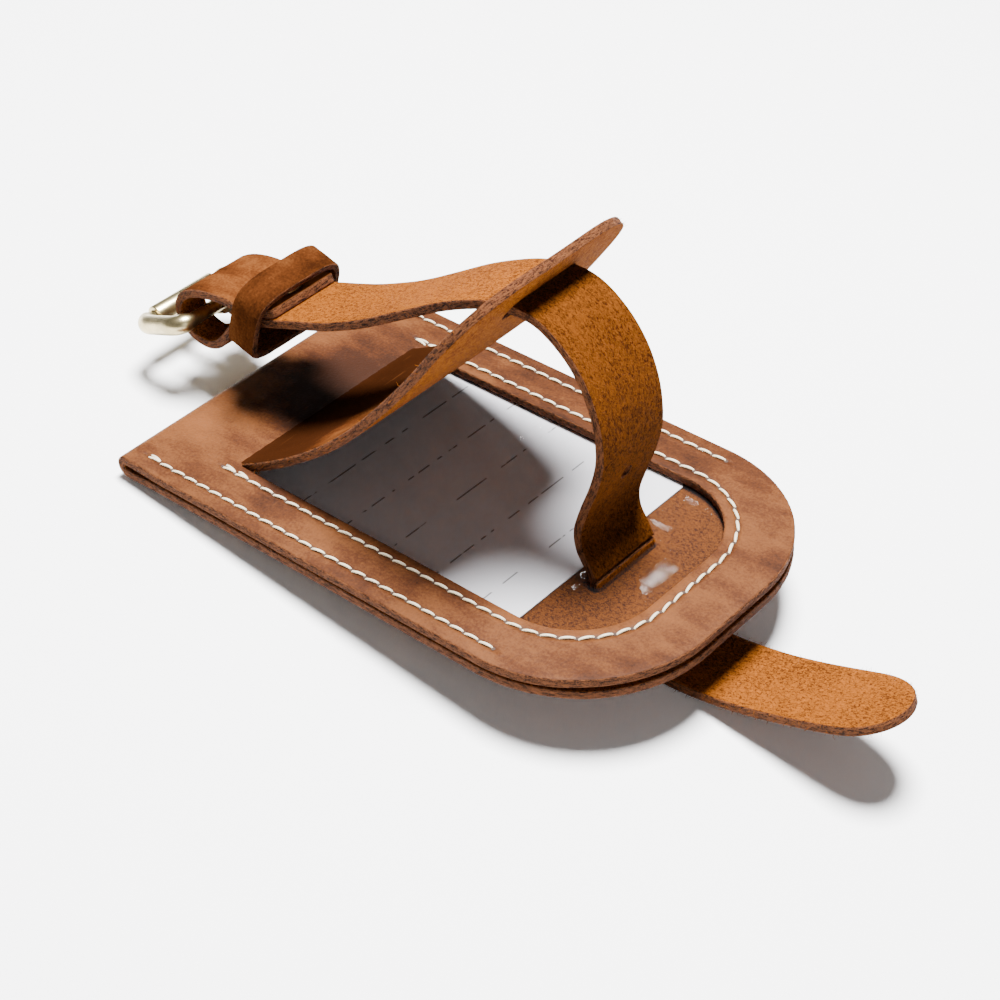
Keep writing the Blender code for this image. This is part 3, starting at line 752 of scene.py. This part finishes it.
def make_flap(sizes, colours):
    route = flap_route()
    end = route.length
    outline = round_ended(0.0, end, WINDOW_WIDTH / 2 - 0.25 * MM, WINDOW_CORNER)
    slot = slot_outline(end - FLAP_SLOT_FROM_END, FLAP_SLOT_WIDTH, SLOT_LENGTH)
    half = WINDOW_WIDTH / 2
    bm = leather_sheet(
        [outline, slot], LEATHER, spaced(0.0, end, 0.6 * sizes.grid), spaced(-half, half, sizes.grid),
        1.3 * sizes.ragged, shift=FLAP_ROOT + SHIFT,
    )

    def lift(x, y, z):
        """The free end cups a little and the long sides roll off the middle."""
        cup = 0.7 * MM * (y / half) ** 2 * smooth(x, 25 * MM, 85 * MM)
        return cup + 0.25 * MM * noise.noise(Vector((x, y, 0.02)) / (22 * MM)) * smooth(x, 5 * MM, 20 * MM)

    form(bm, route.section, lift)
    add_fibres(bm, 260, random.Random(sizes.seed + 1), UNDER, 11 * MM)
    root = FLAP_ROOT + SHIFT
    # Darker at the root: darker oil plus painted shade, for the strap's shadow and the valley where the
    # flap leaves the body. A little lighter near the tip.
    oil_and_shade_at = (
        (root + 5 * MM, 34 * MM, 4 * MM, 60 * MM, 0.30), (root + 84 * MM, 30 * MM, 0.0, 60 * MM, -0.07),
    )
    materials = (
        oiled_hide(colours, "flap_hide", oil_and_shade_at=oil_and_shade_at), suede(colours, "flap_underside", 1.0, 0.8),
        raw_edge(colours, "flap_edge"),
    )
    piece = show(bm, "privacy_flap_hide", "oiled_leather", materials, "privacy_flap")
    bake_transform(piece)


def level_section(x):
    return np.array([x, 0.0]), np.array([1.0, 0.0])


def make_film():
    outline = round_ended(
        FILM_START, WINDOW_END + FILM_MARGIN, WINDOW_WIDTH / 2 + FILM_MARGIN, WINDOW_CORNER + FILM_MARGIN
    )
    slot = slot_outline(BASE_SLOT_X, BASE_SLOT_WIDTH, SLOT_LENGTH)
    half = WINDOW_WIDTH / 2
    bm = leather_sheet(
        [outline, slot], FILM, spaced(FILM_START, WINDOW_END, 6 * MM), spaced(-half, half, 6 * MM)
    )

    def lift(x, y, z):
        inside = smooth(half - abs(y), 0.0, 8 * MM) * smooth(WINDOW_END - x, 0.0, 8 * MM)
        return FILM_TOP - FILM / 2 + 0.2 * MM * inside * (1 + noise.noise(Vector((x, y, 0.1)) / (30 * MM)))

    form(bm, level_section, lift)
    film = clear_film()
    show(bm, "film_sheet", "clear_film", (film, film, film), "window_film", body="tag")


def make_card(colours):
    outline = rounded_box(CARD_START, CARD_START + CARD_LENGTH, -CARD_WIDTH / 2, CARD_WIDTH / 2, 1.0 * MM)
    bm = leather_sheet(
        [outline], CARD, spaced(CARD_START, CARD_START + CARD_LENGTH, 6 * MM),
        spaced(-CARD_WIDTH / 2, CARD_WIDTH / 2, 9 * MM),
    )
    form(bm, level_section, lambda x, y, z: FILM_TOP - FILM - 0.1 * MM - CARD / 2)
    card = ruled_card(colours)
    show(bm, "name_card", "card_paper", (card, card, card), "address_card", body="card")


# Threads, fibres and seams.


def tube(bm, points, radii, sides=8, flatten=1.0, across=None, closed=False):
    """A tube through the points, added to bm; flatten is its height against its width."""
    rings = []
    count = len(points)
    for i, point in enumerate(points):
        ahead = points[(i + 1) % count] if closed or i < count - 1 else point
        behind = points[i - 1] if closed or i > 0 else point
        tangent = (ahead - behind).normalized()
        side = (across or Vector((0.0, 0.0, 1.0))).cross(tangent).normalized()
        up = tangent.cross(side)
        ring = []
        for k in range(sides):
            angle = 2 * math.pi * (k + 0.5) / sides
            offset = side * math.cos(angle) + up * math.sin(angle) * flatten
            ring.append(bm.verts.new(point + offset * radii[i]))
        rings.append(ring)
    pairs = list(zip(rings, rings[1:])) + ([(rings[-1], rings[0])] if closed else [])
    for low, high in pairs:
        for k in range(sides):
            n = (k + 1) % sides
            bm.faces.new((low[k], low[n], high[n], high[k]))
    if not closed:
        bm.faces.new(rings[0][::-1])
        bm.faces.new(rings[-1])
    return bm


def add_fibres(bm, count, draw, finish_index, clear):
    """Loose fibres on the cut edges, each a fine tapered hair; none within clear of the middle."""
    flat = bm.verts.layers.float_vector["flat"]
    bmesh.ops.recalc_face_normals(bm, faces=bm.faces)
    edges = [f for f in bm.faces if f.material_index == EDGE and abs(f.calc_center_median().y) > clear]
    first_vert, first_face = len(bm.verts), len(bm.faces)
    spots = []
    for face in draw.sample(edges, min(count, len(edges))):
        root, away = face.calc_center_median(), face.normal.copy()
        lean = Vector([draw.uniform(-1.0, 1.0) for _ in range(3)])
        length = draw.uniform(0.25, 0.85) * MM
        points = (
            root - away * 0.15 * MM, root + (away + 0.2 * lean) * 0.5 * length,
            root + (0.8 * away + 0.7 * lean) * length,
        )
        tube(bm, points, (0.035 * MM, 0.032 * MM, 0.012 * MM), sides=3, across=lean)
        spots += [face.verts[0][flat].copy()] * 9
    bm.verts.ensure_lookup_table()
    bm.faces.ensure_lookup_table()
    for vert, spot in zip(bm.verts[first_vert:], spots):
        vert[flat] = spot
    for face in bm.faces[first_face:]:
        face.material_index = finish_index


def stitches(bm, row, height, rise, radius, slant, draw):
    """One stitch from each hole to the next: it comes up steeply, lies a little askew and dives."""
    for a, b in zip(row, row[1:]):
        ahead = (Vector(b) - Vector(a)).normalized()
        side = Vector((-ahead.y, ahead.x))
        skew = slant * draw.uniform(0.6, 1.4)
        points, radii = [], []
        for k in range(11):
            t = k / 10
            bow = math.sin(math.pi * t)
            flat = Vector(a).lerp(Vector(b), 0.06 + 0.88 * t) + side * skew * (t - 0.5)
            points.append(Vector((*flat, height + rise * (bow**0.45 - 0.75))))
            radii.append(radius * (0.55 + 0.45 * bow**0.5))
        tube(bm, points, radii, flatten=0.85)


def needle_holes(bm, row, height, up):
    """A shallow dark dish at each hole: painted shade, standing in for the shade inside the hole."""
    for x, y in row:
        rim = [bm.verts.new((x + dx, y + dy, height)) for dx, dy in circle((0.0, 0.0), 0.42 * MM, 10)]
        foot = bm.verts.new((x, y, height - up * 0.25 * MM))
        cap = bm.verts.new((x, y, height + up * 0.03 * MM))
        for k in range(10):
            n = (k + 1) % 10
            bm.faces.new((rim[k], rim[n], cap))
            bm.faces.new((rim[n], rim[k], foot))
    return bm


def evenly(line, step):
    line = np.array(line)
    along = np.concatenate([[0], np.cumsum(np.linalg.norm(np.diff(line, axis=0), axis=1))])
    spots = np.linspace(0, along[-1], round(along[-1] / step) + 1)
    return [(np.interp(s, along, line[:, 0]), np.interp(s, along, line[:, 1])) for s in spots]


def window_seam_row():
    outline = round_ended(
        WINDOW_SEAM_START, WINDOW_END + WINDOW_SEAM_INSET, WINDOW_WIDTH / 2 + WINDOW_SEAM_INSET,
        WINDOW_CORNER + WINDOW_SEAM_INSET,
    )
    return evenly(outline, STITCH)


def make_seams(sizes, colours):
    draw = random.Random(sizes.seed)
    thread = waxed_thread(colours)
    # The holes' near-black colour is painted shade inside the stitch holes.
    hole = plain("needle_hole", (0.030, 0.014, 0.008), 0.9)
    near, far = SEAM_INSET - HALF_WIDTH, HALF_WIDTH - SEAM_INSET
    rows = {
        "near": [(SEAM_START + STITCH * i, near) for i in range(OUTER_STITCHES + 1)],
        "far": [(SEAM_START + STITCH * i, far) for i in range(OUTER_STITCHES + 1)],
        "window": window_seam_row(),
    }
    slant = 0.45 * MM
    for name, row in rows.items():
        pinched = 0.0 if name == "window" else -0.3 * MM
        top = pinched + 0.12 * MM
        bm = bmesh.new()
        stitches(bm, row, top, 0.42 * MM, sizes.thread, slant, draw)
        doubled = row[:3] if name == "window" else row[:2]
        offset = [(x, y + DOUBLING) for x, y in doubled]
        stitches(bm, offset, top, 0.4 * MM, sizes.thread, -slant, draw)
        if name == "window":
            offset = [(x, y - DOUBLING) for x, y in row[-3:]]
            stitches(bm, offset, top, 0.4 * MM, sizes.thread, -slant, draw)
        node = f"{name}_seam_needle_thread"
        show(bm, f"{name}_needle_stitches", "cream_thread", (thread,), node, body="tag")
        bm = needle_holes(bmesh.new(), row, pinched + 0.04 * MM, 1)
        show(bm, f"{name}_needle_holes", "oiled_leather", (hole,), body="tag")
        if name == "window":
            under, radius = FILM_TOP - FILM - 0.27 * MM, 0.19 * MM
        else:
            under, radius = BACK_FACE + 0.15 * MM, 0.8 * sizes.thread
        bm = bmesh.new()
        stitches(bm, row[1:], under, -0.3 * MM if name != "window" else 0.0, radius, slant, draw)
        node = f"{name}_seam_bobbin_thread"
        show(bm, f"{name}_bobbin_stitches", "cream_thread", (thread,), node, body="tag")


# The strap.


def strip(start, end):
    half = STRAP_WIDTH / 2
    return [(start, -half), (end, -half), (end, half), (start, half)]


def clamp_point(along, rise):
    """A point of the clamped stretch: along it from its start, and off the strap's middle."""
    cos, sin = math.cos(CLAMP_SLOPE), math.sin(CLAMP_SLOPE)
    x, z = CLAMP_START[0] * MM, CLAMP_START[1] * MM
    return x + along * cos - rise * sin, z + along * sin + rise * cos


def run_and_loop_route():
    layer = LEATHER + LAYER_GAP * MM
    clamp = [clamp_point(CLAMP_LENGTH * MM * part, 0.0) for part in (1.0, 0.5, 0.0)]
    short = [clamp_point(SHORT_END_LENGTH * MM * part, layer) for part in (-0.25, 0.3, 0.65, 1.0)]
    return Route(metres(RUN_ROUTE) + clamp + metres(LOOP_ROUTE) + short)


def nearest_along(route, x, z):
    spots = np.linspace(0.0, route.length, 900)
    gaps = [np.hypot(*(route.place(s) - (x, z))) for s in spots]
    return float(spots[int(np.argmin(gaps))])


def strap_piece(sizes, route, loops, name, materials, node, body, shift, nap_side=UNDER):
    half = STRAP_WIDTH / 2
    bm = leather_sheet(
        loops, LEATHER, spaced(0.0, route.length, 0.45 * sizes.grid), spaced(-half, half, 1.5 * sizes.grid),
        1.5 * sizes.ragged, shift=shift,
    )

    def lift(x, y, z):
        return 0.1 * MM * noise.noise(Vector((x + shift, y, 0.4)) / (9 * MM))

    form(bm, route.section, lift)
    add_fibres(bm, 420, random.Random(sizes.seed), nap_side, 5 * MM)
    return show(bm, name, "strap_leather", materials, node, body=body)


def make_strap(sizes, colours):
    nap = suede(colours, "strap_nap")
    grain = oiled_hide(colours, "strap_grain", 1.15)
    # The arch's nap is the strap's nap at half brightness: painted shade, for the flap tip's shadow on the
    # arch.
    shaded_nap = suede(colours, "arch_nap_shaded", 0.5)
    edge = raw_edge(colours, "strap_edge")
    half = STRAP_WIDTH / 2

    tail = Route(metres(TAIL_ROUTE))
    tip = 13.0 * MM
    outline = [(0.0, -half)]
    for i in range(33):
        angle = math.radians(-90 + 180 * i / 32)
        outline.append((tail.length - tip + tip * math.cos(angle) ** 0.8, half * math.sin(angle)))
    outline.append((0.0, half))
    holes = [circle((s, 0.0), HOLE_RADIUS) for s in TAIL_HOLES]
    strap_piece(
        sizes, tail, [outline, *holes], "strap_tail_end", (nap, grain, edge), "strap_tail", "tag", 0.3, TOP
    )

    arch = Route(metres(ARCH_ROUTE))
    loops = [strip(0.0, arch.length), circle((ARCH_HOLE, 0.0), HOLE_RADIUS)]
    finishes = (grain, shaded_nap, edge)
    piece = strap_piece(sizes, arch, loops, "strap_arch_stretch", finishes, "strap_arch", None, 0.0)
    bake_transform(piece)

    run = run_and_loop_route()
    bend = nearest_along(run, HEEL_BAR[0] - 5 * MM, HEEL_BAR[1])
    outline = round_ended(0.0, run.length, half, 1.0 * MM, 5)
    prong_slot = rounded_box(
        bend - 9.5 * MM, bend + 5.5 * MM, -PRONG_SLOT_WIDTH / 2, PRONG_SLOT_WIDTH / 2, 1.2 * MM
    )
    loops, finishes = [outline, prong_slot], (grain, nap, edge)
    strap_piece(sizes, run, loops, "strap_buckle_end", finishes, "strap_run", "strap", 0.15)


# Rivet, keeper and staple.


def clamp_matrix(along, rise, lean=0.0):
    x, z = clamp_point(along, rise)
    return TAG @ Matrix.Translation((x, 0.0, z)) @ Matrix.Rotation(-CLAMP_SLOPE + lean, 4, "Y")


def turned(profile, steps=48):
    """A solid turned about z from a profile of (radius, z), which starts and ends on the axis."""
    bm = bmesh.new()
    ends = [bm.verts.new((0.0, 0.0, z)) for _, z in (profile[0], profile[-1])]
    rings = [[bm.verts.new((x, y, z)) for x, y in circle((0.0, 0.0), radius, steps)]
             for radius, z in profile[1:-1]]
    for k in range(steps):
        n = (k + 1) % steps
        bm.faces.new((ends[0], rings[0][n], rings[0][k]))
        for low, high in zip(rings, rings[1:]):
            bm.faces.new((low[k], low[n], high[n], high[k]))
        bm.faces.new((rings[-1][k], rings[-1][n], ends[1]))
    return bm


def cap_profile(radius, height):
    """A pressed cap: rolled rim, then a low dome with a faint flat in the middle."""
    profile = [(0.0, 0.0), (0.86 * radius, 0.0), (0.97 * radius, 0.12 * height), (radius, 0.36 * height)]
    for degrees in range(15, 90, 15):
        a = math.radians(degrees)
        profile.append((radius * (0.72 + 0.28 * math.cos(a)), height * (0.36 + 0.42 * math.sin(a))))
    profile += [(0.6 * radius, 0.86 * height), (0.3 * radius, 0.97 * height), (0.0, height)]
    return profile


def make_rivet(colours):
    brass = worn_brass(colours, "rivet_brass")
    on_top = 1.5 * LEATHER + LAYER_GAP * MM + 0.02 * MM
    bm = turned(cap_profile(RIVET_CAP, 0.95 * MM))
    show(bm, "rivet_cap_pressed", "antique_brass", (brass,), "rivet_cap", body="strap",
         matrix=clamp_matrix(RIVET_ALONG, on_top))
    bm = turned(cap_profile(0.9 * RIVET_CAP, 0.8 * MM))
    flip = Matrix.Rotation(math.pi, 4, "Y")
    show(bm, "rivet_back_pressed", "antique_brass", (brass,), "rivet_back_cap", body="strap",
         matrix=clamp_matrix(RIVET_ALONG, -LEATHER / 2 - 0.05 * MM) @ flip)


def keeper_line(span, height, steps):
    """A round-cornered oblong in the keeper's own section, a little squarer below."""
    points = []
    for i in range(steps):
        angle = 2 * math.pi * i / steps
        cos, sin = math.cos(angle), math.sin(angle)
        squareness = 0.5 if sin > 0 else 0.4
        reach_y = math.copysign(abs(cos) ** squareness, cos) * span / 2
        reach_z = math.copysign(abs(sin) ** squareness, sin) * height / 2
        points.append((reach_y, reach_z))
    return evenly(points + points[:1], 0.7 * MM)[:-1]


def make_keeper(colours):
    """A band swept round the loop: grain outside, nap inside, raw edges, its ends stapled on top."""
    wall = KEEPER_LEATHER
    line, away = outward(around(keeper_line(KEEPER_SPAN - wall, KEEPER_HEIGHT - wall, 160), False))
    half = KEEPER_WIDTH / 2
    section = dense(rounded_box(-half, half, -wall / 2, wall / 2, 0.4 * MM, 4), 1.2 * MM)
    bm = bmesh.new()
    flat = bm.verts.layers.float_vector.new("flat")
    rings = []
    travelled = 0.0
    for i, (point, normal) in enumerate(zip(line, away)):
        travelled += math.dist(point, line[i - 1]) if i else 0.0
        ring = []
        for along, off in section:
            wobble = 0.07 * MM * noise.noise(Vector((travelled, along, off)) / (1.1 * MM))
            place = point + normal * (off + wobble)
            vert = bm.verts.new((along + wobble, place[0], place[1]))
            vert[flat] = Vector((travelled, along, off / wall * LEATHER))
            ring.append(vert)
        rings.append(ring)
    for low, high in zip(rings, rings[1:] + rings[:1]):
        for k in range(len(section)):
            n = (k + 1) % len(section)
            face = bm.faces.new((low[k], low[n], high[n], high[k]))
            off = (section[k][1] + section[n][1]) / 2
            flat_side = abs(off) > wall / 2 - 0.15 * MM
            face.material_index = (TOP if off > 0 else UNDER) if flat_side else EDGE
    place = clamp_matrix(KEEPER_ALONG, KEEPER_RISE, lean=CLAMP_SLOPE + KEEPER_LEAN)
    materials = (
        oiled_hide(colours, "keeper_hide", 0.85), suede(colours, "keeper_lining", 0.5),
        raw_edge(colours, "keeper_edge"),
    )
    show(bm, "keeper_band", "oiled_leather", materials, "keeper_loop", body="keeper", matrix=place)

    top = KEEPER_HEIGHT / 2 - wall
    bm = bmesh.new()
    half_staple = ((-2.3, 0.45), (-2.1, -0.1), (-1.7, -0.32))
    legs = (*half_staple, (0.0, -0.38), *((-y, z) for y, z in reversed(half_staple)))
    for along in (-0.7 * MM, 0.7 * MM):
        points = [Vector((along, y * MM, top + z * MM)) for y, z in legs]
        tube(bm, points, [0.36 * MM] * len(points), sides=10, flatten=0.8, across=Vector((1.0, 0.0, 0.0)))
    staple = worn_brass(colours, "staple_brass", 1.2)
    show(bm, "keeper_staple_wire", "antique_brass", (staple,), "keeper_staple", body="keeper", matrix=place)


# The buckle.


def buckle_line(along, rise=0.0):
    """A point of the buckle's plane, from the heel bar towards the front bar."""
    heel, front = Vector((HEEL_BAR[0], 0.0, HEEL_BAR[1])), Vector((FRONT_BAR[0], 0.0, FRONT_BAR[1]))
    ahead = (front - heel).normalized()
    up = Vector((ahead.z, 0.0, -ahead.x))
    return heel + ahead * along + up * rise


def make_buckle(colours):
    brass = worn_brass(colours, "buckle_brass")
    reach = math.dist(HEEL_BAR, FRONT_BAR)
    corners = rounded_box(0.0, reach, -RAIL_Y, RAIL_Y, 3.4 * MM, 10)
    points, radii = [], []
    for along, y in dense(corners, 0.8 * MM):
        thin = HEEL_RADIUS if along < reach / 2 else FRONT_RADIUS
        grown = smooth(abs(y), 8.7 * MM, 11.2 * MM)
        points.append(buckle_line(along) + Vector((0.0, y, 0.0)))
        radii.append(thin + (RAIL_RADIUS - thin) * grown)
    across = (buckle_line(0.0, 1.0) - buckle_line(0.0)).normalized()
    bm = tube(bmesh.new(), points, radii, sides=24, across=across, closed=True)
    show(bm, "buckle_frame_cast", "antique_brass", (brass,), "buckle_frame", body="buckle")

    half, lip, ease = ROLLER_LENGTH / 2, 0.25 * MM, 0.07 * MM
    wall = [
        (-half + lip, ROLLER_RADIUS), (-half + ease, ROLLER_RADIUS - ease), (-half, ROLLER_RADIUS - lip),
        (-half, ROLLER_BORE), (half, ROLLER_BORE), (half, ROLLER_RADIUS - lip),
        (half - ease, ROLLER_RADIUS - ease), (half - lip, ROLLER_RADIUS),
    ]
    bm = bmesh.new()
    rings = [[bm.verts.new((r * math.cos(a), y, r * math.sin(a))) for y, r in wall]
             for a in np.linspace(0, 2 * math.pi, 41)[:-1]]
    for low, high in zip(rings, rings[1:] + rings[:1]):
        for k in range(len(wall)):
            n = (k + 1) % len(wall)
            bm.faces.new((low[k], low[n], high[n], high[k]))
    place = TAG @ Matrix.Translation((FRONT_BAR[0], 0.0, FRONT_BAR[1]))
    show(bm, "buckle_roller_tube", "antique_brass", (brass,), "buckle_roller", body="roller", matrix=place)

    curl = HEEL_RADIUS + PRONG_CLEARANCE + PRONG_THICK / 2
    under = ROLLER_RADIUS + PRONG_THICK / 2 + 0.12 * MM
    slope = math.asin((under - curl) / reach)
    points, radii = [], []
    for degrees in range(280, -1, -10):
        a = math.radians(degrees) + slope
        points.append(buckle_line(curl * math.sin(a), -curl * math.cos(a)))
        radii.append(1.0)
    for along in (2.0, 5.0, 8.0, 11.0, 13.0, 14.5, 15.5, 16.2, 16.6):
        run = along * MM
        points.append(buckle_line(
            curl * math.sin(slope) + run * math.cos(slope), -curl * math.cos(slope) - run * math.sin(slope)
        ))
        radii.append(1.0 - 0.55 * smooth(along, 13.5, 16.7))
    flat = PRONG_WIDE / PRONG_THICK
    radii = [r * PRONG_THICK / 2 for r in radii]
    bm = tube(bmesh.new(), points, radii, sides=16, flatten=flat, across=Vector((0.0, 1.0, 0.0)))
    show(bm, "buckle_prong_wire", "antique_brass", (brass,), "buckle_prong", body="prong")


# The stage.


CAMERA_TARGET = Vector((72.02 * MM, -2.24 * MM, 0.0))
CAMERA_DISTANCE = 457.8 * MM
CAMERA_AZIMUTH = math.radians(41.51)
CAMERA_HEIGHT = math.radians(38.55)
CAMERA_ROLL = math.radians(-1.68)
CAMERA_LENS = 83.88


def camera_matrix():
    """The camera in the tag's frame: it looks over the near long side towards the fold."""
    level = math.cos(CAMERA_HEIGHT)
    sideways, along = math.sin(CAMERA_AZIMUTH), math.cos(CAMERA_AZIMUTH)
    ahead = Vector((-level * sideways, level * along, -math.sin(CAMERA_HEIGHT)))
    turn = ahead.to_track_quat("-Z", "Y").to_matrix().to_4x4()
    place = Matrix.Translation(CAMERA_TARGET - ahead * CAMERA_DISTANCE)
    return TAG @ place @ turn @ Matrix.Rotation(CAMERA_ROLL, 4, "Z")


def lamp(name, size, power, place, target, colour=(1.0, 1.0, 1.0)):
    light = bpy.data.lights.new(name, "AREA")
    light.shape = "DISK"
    light.size = size
    light.energy = power
    light.color = colour
    lit = bpy.data.objects.new(name, light)
    bpy.context.scene.collection.objects.link(lit)
    away = Vector(target) - Vector(place)
    lit.matrix_world = Matrix.Translation(place) @ away.to_track_quat("-Z", "Y").to_matrix().to_4x4()
    return lit


def make_stage(colours):
    bm = bmesh.new()
    bmesh.ops.create_circle(bm, cap_ends=True, segments=96, radius=4.0)
    mesh = bpy.data.meshes.new("floor")
    bm.to_mesh(mesh)
    bm.free()
    floor = bpy.data.objects.new("floor", mesh)
    finish = Finish("floor", roughness=0.75)
    finish.set("Base Color", tuple(colours.floor))
    mesh.materials.append(finish.material)
    bpy.context.scene.collection.objects.link(floor)

    camera = bpy.data.cameras.new("camera")
    camera.lens = CAMERA_LENS
    camera.sensor_width = 36.0
    camera.clip_start = 0.01
    seen = bpy.data.objects.new("camera", camera)
    bpy.context.scene.collection.objects.link(seen)
    seen.matrix_world = camera_matrix()
    bpy.context.scene.camera = seen

    world = bpy.data.worlds.new("studio")
    world.use_nodes = True
    sky = world.node_tree.nodes["Background"]
    sky.inputs["Color"].default_value = (1.0, 1.0, 1.0, 1.0)
    sky.inputs["Strength"].default_value = 0.16
    bpy.context.scene.world = world
    key = lamp("key", 0.30, 52.0, (-0.08, 0.10, 0.80), (0.0, 0.0, 0.02))
    spot = TAG @ Vector((109.8 * MM, -3.0 * MM, 0.0))
    glint = lamp("glint", 0.035, 0.15, TAG @ Vector((-0.298, 0.543, 0.585)), spot)
    fill = lamp("fill", 0.6, 2.0, (0.75, -0.45, 0.45), (0.0, 0.0, 0.02))


# The operators, one for each piece or group.


class TAG_OT_body(bpy.types.Operator):
    """Fold the hide and cut its window and slot"""

    bl_idname = "tag.body"
    bl_label = "Folded body"

    def execute(self, context):
        make_body(context.scene.tag_sizes, context.scene.tag_colours)
        return {"FINISHED"}


class TAG_OT_flap(bpy.types.Operator):
    """Raise the privacy flap from the window"""

    bl_idname = "tag.flap"
    bl_label = "Privacy flap"

    def execute(self, context):
        make_flap(context.scene.tag_sizes, context.scene.tag_colours)
        return {"FINISHED"}


class TAG_OT_film(bpy.types.Operator):
    """Lay the clear film behind the window"""

    bl_idname = "tag.film"
    bl_label = "Clear film"

    def execute(self, context):
        make_film()
        return {"FINISHED"}


class TAG_OT_card(bpy.types.Operator):
    """Slide the ruled card into the pocket"""

    bl_idname = "tag.card"
    bl_label = "Name card"

    def execute(self, context):
        make_card(context.scene.tag_colours)
        return {"FINISHED"}


class TAG_OT_seams(bpy.types.Operator):
    """Sew the outer rows and the row round the window"""

    bl_idname = "tag.seams"
    bl_label = "Seams"

    def execute(self, context):
        make_seams(context.scene.tag_sizes, context.scene.tag_colours)
        return {"FINISHED"}


class TAG_OT_strap(bpy.types.Operator):
    """Thread the strap up through the body and the flap"""

    bl_idname = "tag.strap"
    bl_label = "Strap"

    def execute(self, context):
        make_strap(context.scene.tag_sizes, context.scene.tag_colours)
        return {"FINISHED"}


class TAG_OT_rivet(bpy.types.Operator):
    """Set the rivet that holds the folded end of the strap"""

    bl_idname = "tag.rivet"
    bl_label = "Rivet"

    def execute(self, context):
        make_rivet(context.scene.tag_colours)
        return {"FINISHED"}


class TAG_OT_keeper(bpy.types.Operator):
    """Close the keeper loop with its staple"""

    bl_idname = "tag.keeper"
    bl_label = "Keeper"

    def execute(self, context):
        make_keeper(context.scene.tag_colours)
        return {"FINISHED"}


class TAG_OT_buckle(bpy.types.Operator):
    """Cast the buckle's frame and fit its roller and prong"""

    bl_idname = "tag.buckle"
    bl_label = "Buckle"

    def execute(self, context):
        make_buckle(context.scene.tag_colours)
        return {"FINISHED"}


class TAG_OT_stage(bpy.types.Operator):
    """Lay the floor and set the lights and the camera"""

    bl_idname = "tag.stage"
    bl_label = "Stage"

    def execute(self, context):
        make_stage(context.scene.tag_colours)
        return {"FINISHED"}


STEPS = (
    TAG_OT_body, TAG_OT_flap, TAG_OT_film, TAG_OT_card, TAG_OT_seams, TAG_OT_strap, TAG_OT_rivet,
    TAG_OT_keeper, TAG_OT_buckle, TAG_OT_stage,
)


class TAG_PT_panel(bpy.types.Panel):
    bl_idname = "TAG_PT_panel"
    bl_label = "Luggage tag"
    bl_space_type = "VIEW_3D"
    bl_region_type = "UI"
    bl_category = "Luggage tag"

    def draw(self, context):
        for group in (context.scene.tag_sizes, context.scene.tag_colours):
            for name in group.__annotations__:
                self.layout.prop(group, name)
        for step in STEPS:
            self.layout.operator(step.bl_idname)


CLASSES = (TagSizes, TagColours, *STEPS, TAG_PT_panel)


def register():
    for cls in CLASSES:
        bpy.utils.register_class(cls)
    bpy.types.Scene.tag_sizes = PointerProperty(type=TagSizes)
    bpy.types.Scene.tag_colours = PointerProperty(type=TagColours)


def unregister():
    del bpy.types.Scene.tag_sizes
    del bpy.types.Scene.tag_colours
    for cls in reversed(CLASSES):
        bpy.utils.unregister_class(cls)


def main():
    register()
    bpy.ops.tag.body()
    bpy.ops.tag.flap()
    bpy.ops.tag.film()
    bpy.ops.tag.card()
    bpy.ops.tag.seams()
    bpy.ops.tag.strap()
    bpy.ops.tag.rivet()
    bpy.ops.tag.keeper()
    bpy.ops.tag.buckle()
    bpy.ops.tag.stage()


if __name__ == "__main__":
    main()
